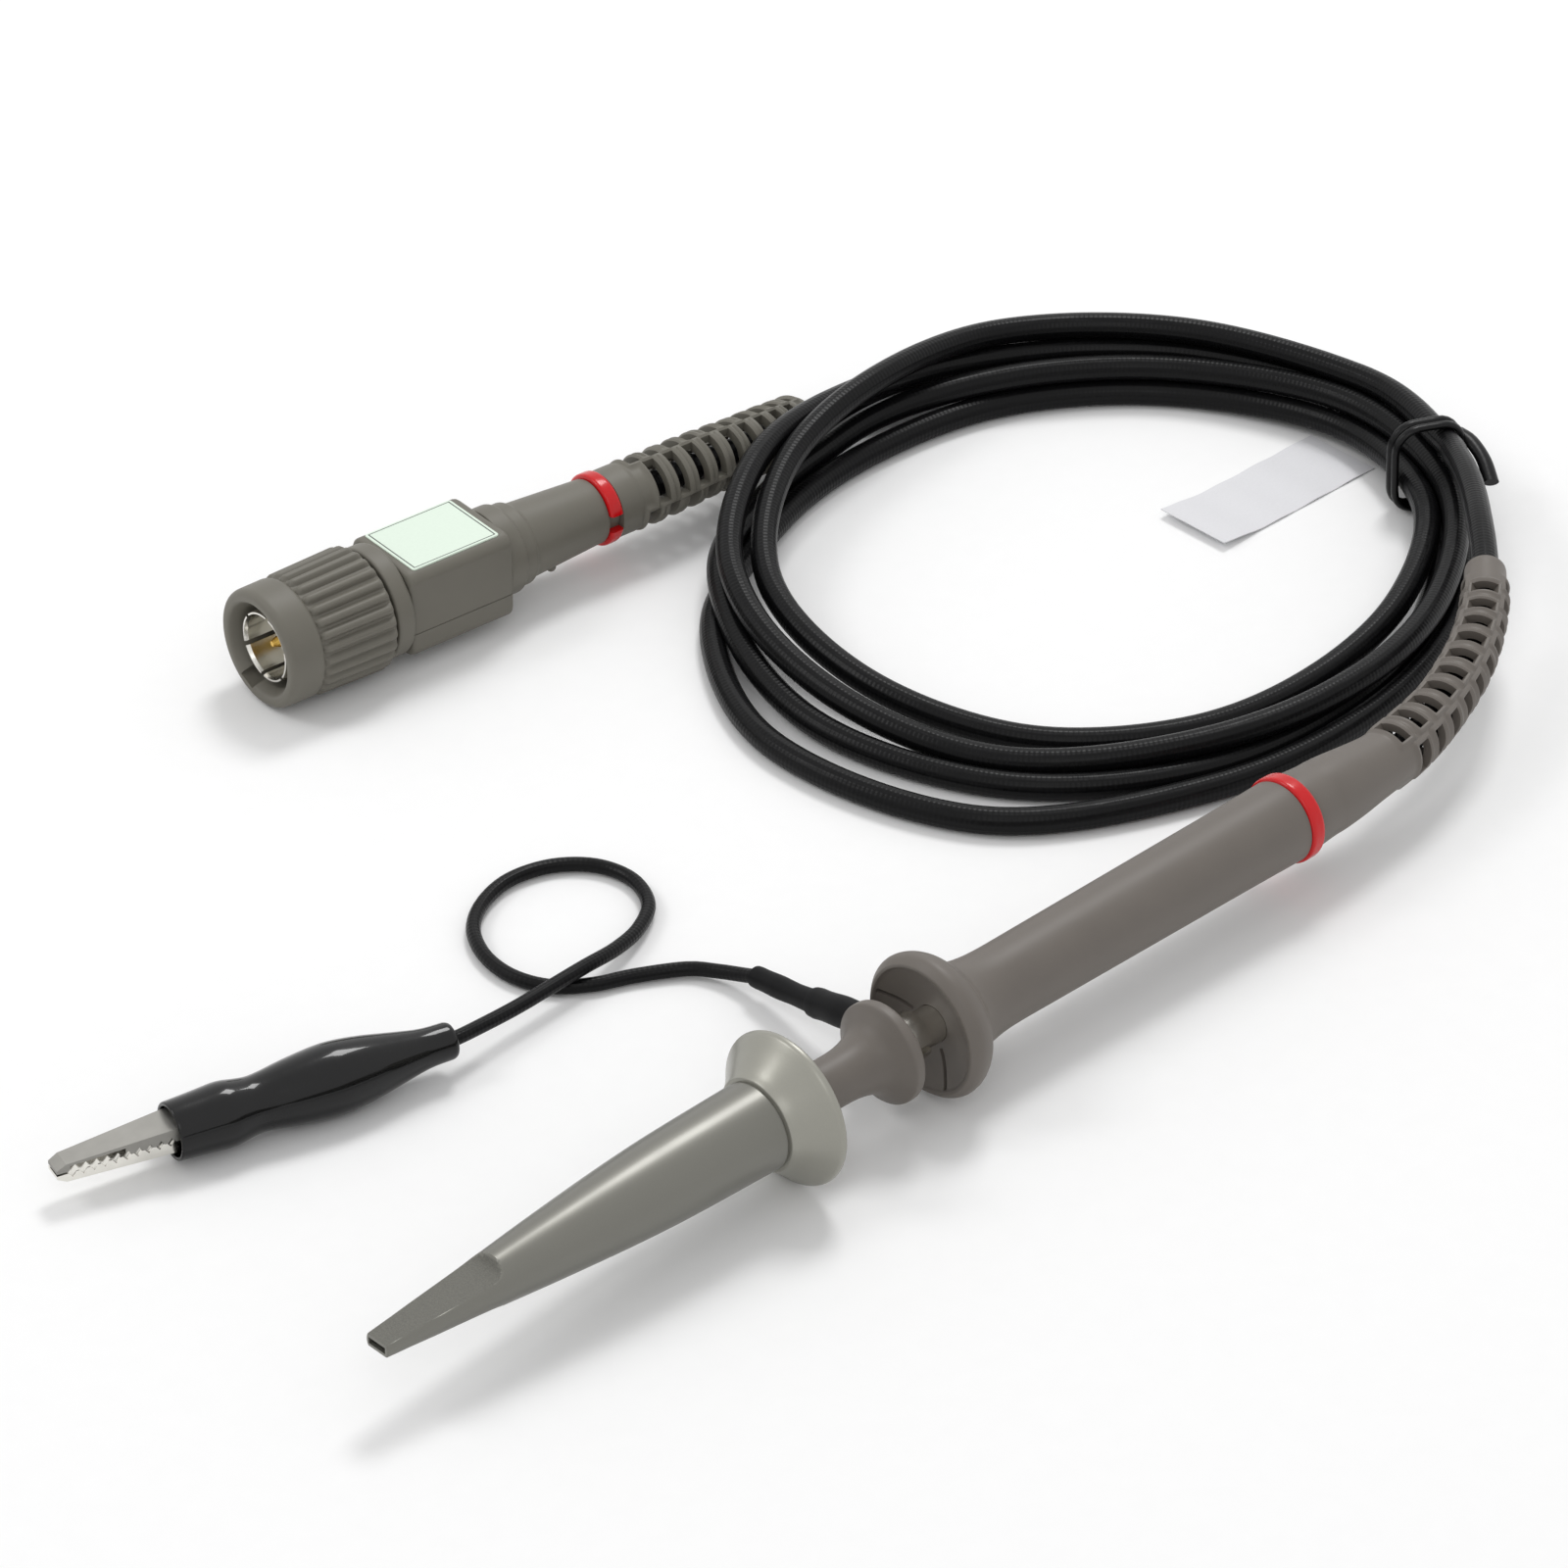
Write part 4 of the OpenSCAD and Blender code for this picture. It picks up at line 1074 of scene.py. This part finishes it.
class ProbeSprings(Operator):
    """Winds the spring of the hook tip and the torsion spring of the clip"""
    bl_idname = "probe.springs"
    bl_label = "Springs"

    def execute(self, context):
        low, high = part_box("hook_spring")
        wire, start, end = 0.25, low.x / MM, high.x / MM
        radius = (high.y - low.y) / 2 / MM - wire - 0.02
        turns, steps = 7, 24
        flat_turns = 0.75  # against the seat at each end
        route = []
        for k in range(turns * steps + 1):
            angle = FULL_TURN * k / steps
            share = min(1, max(0, (k / steps - flat_turns) / (turns - 2 * flat_turns)))
            route.append(HEAD @ Vector((start + wire + (end - start - 2 * wire) * share,
                                        radius * math.cos(angle), radius * math.sin(angle))))
        spring = hose("tip_spring", route, wire, "tip", "spring_steel", ("hook_spring",), 10)
        travel = record_item(frame["joints"], "hook_draw")["range_m"][1] / MM
        (end - start - travel) / (end - start)
        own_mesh(spring)
        self.torsion()
        return {"FINISHED"}

    def torsion(self):
        """Three and a half turns round the hinge pin with a leg against each jaw."""
        radius, half_width, steps = 0.86, 0.62, 16
        last = 3 * steps + steps // 2
        points = [(HINGE_X - 8.6, -half_width, -1.3), (HINGE_X - 4, -half_width, -1.05)]
        for k in range(last + 1):
            angle = -math.pi / 2 - FULL_TURN * k / steps
            points.append((HINGE_X + radius * math.cos(angle),
                           -half_width + 2 * half_width * k / last, radius * math.sin(angle)))
        points += [(HINGE_X - 4, half_width, 1.05), (HINGE_X - 8.6, half_width, 1.3)]
        spring = hose("hinge_spring", [CLIP @ Vector(point) for point in points], 0.22, None,
                      "spring_steel", ("clip_spring",), 10)
        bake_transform(spring)


class ProbeTie(Operator):
    """Bends the wire tie round the turns and twists its tail"""
    bl_idname = "probe.tie"
    bl_label = "Wire tie"

    # degrees round the coil's middle
    ANGLE = -21

    def execute(self, context):
        at = math.radians(self.ANGLE)
        out = Vector((math.cos(at), math.sin(at), 0))
        along = Vector((-math.sin(at), math.cos(at), 0))
        spots = [Vector(spot) / MM - COIL_MIDDLE for spot in context.scene["cable_route"]]
        near = [spot for spot in spots if abs(spot.dot(along)) < 1.5 and spot.dot(out) > 20]
        radii = [spot.dot(out) for spot in near]
        room = 2.0
        low, high = min(radii) - room, max(radii) + room
        bottom, top = 0.45, max(spot.z for spot in near) + room
        if high - low > 14:
            raise RuntimeError("the turns lie too far apart at the tie")
        rounding = 2.7
        for k, shift in enumerate((-0.55, 0.65)):
            loop = []
            for r, z, first in ((low + rounding, bottom + rounding, 180),
                                (low + rounding, top - rounding, 90),
                                (high - rounding, top - rounding, 0),
                                (high - rounding, bottom + rounding, -90)):
                for step in range(7):
                    swing = math.radians(first + 90 - 15 * step)
                    loop.append(COIL_MIDDLE + out * (r + rounding * math.cos(swing))
                                + along * (shift + 0.25 * math.sin(r + z))
                                + Vector((0, 0, z + rounding * math.sin(swing))))
            loop = loop + loop[:1]
            hose(f"tie_wrap_{k + 1}", smooth_route(loop, 0.6), 0.42, "probe", "black_plastic",
                 ("wire_tie",) if k == 0 else (), around=14, first_side=out, squash=1.3)
        start = COIL_MIDDLE + out * (high + 0.2) + Vector((0, 0, top - 2.4))
        tail = [start + along * 0.6, start + out * 0.7 - along * 1.2 - Vector((0, 0, 0.3)),
                start + out * 0.9 - along * 4 - Vector((0, 0, 1.2)),
                start + out * 0.4 - along * 7 - Vector((0, 0, 2.4))]
        hose("tie_tail", smooth_route(tail, 0.5), 0.62, "probe", "black_plastic", (), 14,
             first_side=Vector((0, 0, 1)), squash=1.5)
        return {"FINISHED"}


class ProbeFlag(Operator):
    """Cuts the paper flag, which lifts a little at its free end and goes under the cable"""
    bl_idname = "probe.flag"
    bl_label = "Paper flag"

    def execute(self, context):
        low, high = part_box("label_flag")
        columns, rows = 40, 12
        thickness, gap = 0.12, 0.04
        points = []
        for bottom in (gap, gap + thickness):
            for i in range(columns + 1):
                x = low.x / MM + (high.x - low.x) / MM * i / columns
                # the free end curls up over 16 columns, and the whole flag is slightly wavy
                lift = 0.9 * max(0.0, 1 - i / 16) ** 2 + 0.12 * math.sin(i * 0.32) ** 2
                for j in range(rows + 1):
                    y = low.y / MM + (high.y - low.y) / MM * j / rows
                    points.append((x, y, bottom + lift))
        shift = (columns + 1) * (rows + 1)
        top = quads(columns + 1, rows + 1, False, False)
        faces = [tuple(index + shift for index in face) for face in top]
        faces += [face[::-1] for face in top]
        rim = [i * (rows + 1) for i in range(columns + 1)]
        rim += [columns * (rows + 1) + j for j in range(1, rows + 1)]
        rim += [i * (rows + 1) + rows for i in range(columns - 1, -1, -1)]
        rim += list(range(rows - 1, 0, -1))
        for a, b in zip(rim, rim[1:] + rim[:1]):
            faces.append((a, b, b + shift, a + shift))
        new_piece("paper_flag", points, faces, "probe", "paper", ("label_flag",))
        return {"FINISHED"}


class ProbeBox(Operator):
    """Moulds the compensation box, its label, its tail and the neck ring"""
    bl_idname = "probe.box"
    bl_label = "Compensation box"

    LENGTH, WIDTH, HEIGHT, CORNER, WALL = 13.8, 11.1, 10.6, 1.4, 1.2
    PARTING = -2.2

    def execute(self, context):
        seam = 0.03
        for name, node, low, high in (
                ("box_top", "comp_shell_top", -FAR, self.PARTING + seam),
                ("box_bottom", "comp_shell_bottom", self.PARTING - seam, FAR)):
            shell = self.casing(name, node)
            cut(shell, BOX, block((-2, -FAR, low), (self.LENGTH + 2, FAR, high)))
            soften = shell.modifiers.new("edges", "BEVEL")
            soften.width = 0.07 * MM
            soften.segments = 2
            soften.limit_method = "ANGLE"
            soften.angle_limit = math.radians(50)
        self.label()
        start = self.LENGTH
        tail = [(start, 2.35), (start, 5.2, 0.15), (16, 5.2, 0.25), (16.3, 4.95, 0.15),
                (16.3, 4.8, 0.1), (17.75, 4.8, 0.2), (18.1, 4.4, 0.3), (28.4, 3.78, 0.1),
                (28.4, 3.2), (TAIL_END, 3.2, 0.1), (TAIL_END, 1.65), (24.8, 1.65), (24.8, 2.35)]
        lathe("box_tail", BOX, tail, "probe", "box_plastic", ("comp_tail",), 80)
        pip = Matrix.Rotation(math.radians(-118), 4, "X") @ Matrix.Translation((21.5, 4.15, 0))
        dome = [(-0.55, 0.02), (-0.5, 0.28, 0.1), (-0.2, 0.5, 0.2), (0.2, 0.5, 0.2),
                (0.5, 0.28, 0.1), (0.55, 0.02)]
        lathe("box_tail_pip", BOX @ pip, dome, "probe", "box_plastic", (), 24, False)
        neck = [(-2.3, 3.64), (-2.3, 6.3, 0.2), (-2.1, 6.5, 0.2), (-0.3, 6.5, 0.2),
                (-0.04, 6.25, 0.2), (-0.04, 3.64)]
        lathe("box_neck", BOX, neck, "probe", "box_plastic", ("neck_ring",), 80)
        return {"FINISHED"}

    def casing(self, name, node):
        """The whole hollow box with softly rounded ends and its four holes."""
        stations = [(0, 0.45), (0.1, 0.2), (0.3, 0.05), (0.55, 0)]
        stations += [(self.LENGTH - x, inset) for x, inset in stations[::-1]]
        arc = 8
        points = []
        for x, inset in stations:
            half_w, half_h = self.WIDTH / 2 - inset, self.HEIGHT / 2 - inset
            for quarter, (sy, sz) in enumerate(((1, 1), (-1, 1), (-1, -1), (1, -1))):
                for k in range(arc + 1):
                    swing = math.pi / 2 * (quarter + k / arc)
                    points.append(BOX @ Vector((
                        x, sy * (half_w - self.CORNER) + self.CORNER * math.cos(swing),
                        sz * (half_h - self.CORNER) + self.CORNER * math.sin(swing))))
        around = 4 * (arc + 1)
        faces = quads(len(stations), around)
        faces += [tuple(range(around)), tuple(range(len(points) - around, len(points)))]
        shell = new_piece(name, points, faces, "probe", "box_plastic", (node,))
        w, h, t = self.WIDTH / 2, self.HEIGHT / 2, self.WALL
        # the cavity, the hole for the plug, the one for the cable and the trimmer's
        cut(shell, BOX, block((t, t - w, t - h), (self.LENGTH - t, w - t, h - t)),
            drum((-1, 0, 0), (1, 0, 0), 3.62, 3), drum((self.LENGTH - 2, 0, 0), (1, 0, 0), 2, 4),
            drum((7.2, 0, 0.9), (0, 1, 0), 1.1, FAR))
        return shell

    def label(self):
        """A thin plate with rounded corners on top of the box."""
        x0, x1, half, corner = 1.1, 12.7, 4.55, 0.35
        rim = []
        for sx, sy, quarter in ((x1 - corner, half - corner, 0), (x0 + corner, half - corner, 1),
                                (x0 + corner, corner - half, 2), (x1 - corner, corner - half, 3)):
            for k in range(6):
                swing = math.pi / 2 * (quarter + k / 5)
                rim.append((sx + corner * math.cos(swing), sy + corner * math.sin(swing)))
        count = len(rim)
        top = self.HEIGHT / 2
        middle = (x0 + x1) / 2
        points = [BOX @ Vector((x - math.copysign(inset, x - middle),
                                y - math.copysign(inset, y), z))
                  for z, inset in ((top - 0.1, 0), (top + 0.08, 0), (top + 0.12, 0.04))
                  for x, y in rim]
        faces = quads(3, count) + [tuple(range(count)), tuple(range(2 * count, 3 * count))]
        flat = [((x - x0) / (x1 - x0), (y + half) / (2 * half)) for x, y in rim] * 3
        runs = [flat[index] for face in faces for index in face]
        # the film draws a painted shadow as a dark line round the label's edge
        new_piece("box_label", points, faces, "probe", "label_film", ("comp_label",), None, runs)


class ProbePlug(Operator):
    """Moulds the ribbed sleeve of the plug"""
    bl_idname = "probe.plug"
    bl_label = "Plug"

    # degrees round the axis of the two slots that take the bayonet pins
    ENTRIES = (24, 204)

    def execute(self, context):
        ribs = context.scene.probe_sizes.sleeve_ribs
        front, back = -16.6, -2.6
        outer = [(front + 1.4, 4.9, 0.2), (front + 0.2, 5.4, 0.3), (front, 5.7, 0.2),
                 (front, 6.4, 0.4), (front + 0.5, 6.85, 0.5), (front + 4.0, 6.9, 0.3),
                 (front + 4.4, 6.5, 0.3)]
        run = [(front + 4.7 + 0.3 * k, 6.45 + 0.008 * k) for k in range(31)]
        closing = [(back, 6.3, 0.2), (back, 5.8), (-4.6, 5.8), (-4.6, 4.4), (-7.1, 4.4),
                   (-7.1, 5.45), (-9.5, 5.45), (-9.5, 4.9)]
        stations = fillet(outer) + run + fillet(closing)
        sides = ribs * 12

        pitch = FULL_TURN / ribs
        start, half_width, height, run_out = front + 5.0, 0.52, 0.55, 0.7

        def ribbed(x, radius, angle):
            """A place on the sleeve, lifted by its round ribs, which fade out at the back."""
            off = ((angle + pitch / 2) % pitch - pitch / 2) * 6.7
            over = math.hypot(max(0.0, start - x), off) / half_width
            lift = height * math.sqrt(max(0.0, 1 - over * over)) if radius > 6.0 else 0
            if x > back - run_out:
                lift *= max(0.0, (back - x) / run_out)
            grown = radius + (lift if x > start - 0.6 else 0)
            return Vector((x, grown * math.cos(angle), grown * math.sin(angle)))

        points = round_about(BOX, stations, sides, ribbed)
        faces = quads(len(stations), sides, True)
        sleeve = new_piece("plug_sleeve", points, faces, "bayonet", "box_plastic",
                           ("bnc_sleeve",))
        entry = block((front - 1, -1.1, 4), (front + 4.6, 1.1, 5.65))
        cut(sleeve, BOX, *(turned(angle, entry) for angle in self.ENTRIES))
        return {"FINISHED"}


class ProbePaint(Operator):
    """Gives every CAD node that still shows the finish of its slot"""
    bl_idname = "probe.paint"
    bl_label = "Paint what is carried over"

    # the lower jaw, the plug's body and the ground parts take the nickel with the painted highlight
    OWN = {"clip_upper_jaw": "jaw_top", "clip_lower_jaw": "bright_nickel",
           "bnc_body": "bright_nickel", "ground_clip": "bright_nickel",
           "ground_barrel": "bright_nickel"}

    def execute(self, context):
        slots = {part["node"]: part["material_slot"] for part in frame["record"]["subparts"]}
        for name, node in frame["nodes"].items():
            node.data.materials.clear()
            node.data.materials.append(PAINTS[self.OWN.get(name, slots[name])])
        return {"FINISHED"}


class ProbeDeclare(Operator):
    bl_idname = "probe.declare"
    bl_label = "Declare the cords"

    def execute(self, context):
        return {"FINISHED"}


STEPS = (ProbeStage, ProbeCable, ProbeLead, ProbeHandle, ProbeHook, ProbeReliefs, ProbeRings,
         ProbeClip, ProbeSprings, ProbeTie, ProbeFlag, ProbeBox, ProbePlug, ProbePaint,
         ProbeDeclare)


class ProbePanel(Panel):
    """Lists the steps that build the probe"""
    bl_idname = "VIEW3D_PT_probe"
    bl_label = "Oscilloscope probe"
    bl_space_type = "VIEW_3D"
    bl_region_type = "UI"
    bl_category = "Probe"

    def draw(self, context):
        for group in (context.scene.probe_sizes, context.scene.probe_colours):
            column = self.layout.column(align=True)
            for name in group.__annotations__:
                column.prop(group, name)
        column = self.layout.column(align=True)
        for step in STEPS:
            column.operator(step.bl_idname)


CLASSES = (ProbeSizes, ProbeColours, *STEPS, ProbePanel)


def register():
    for item in CLASSES:
        bpy.utils.register_class(item)
    bpy.types.Scene.probe_sizes = PointerProperty(type=ProbeSizes)
    bpy.types.Scene.probe_colours = PointerProperty(type=ProbeColours)


def unregister():
    del bpy.types.Scene.probe_colours
    del bpy.types.Scene.probe_sizes
    for item in reversed(CLASSES):
        bpy.utils.unregister_class(item)


def main():
    register()
    make_finishes(bpy.context.scene.probe_colours)
    for step in STEPS:
        family, name = step.bl_idname.split(".")
        getattr(getattr(bpy.ops, family), name)()


if __name__ == "__main__":
    main()
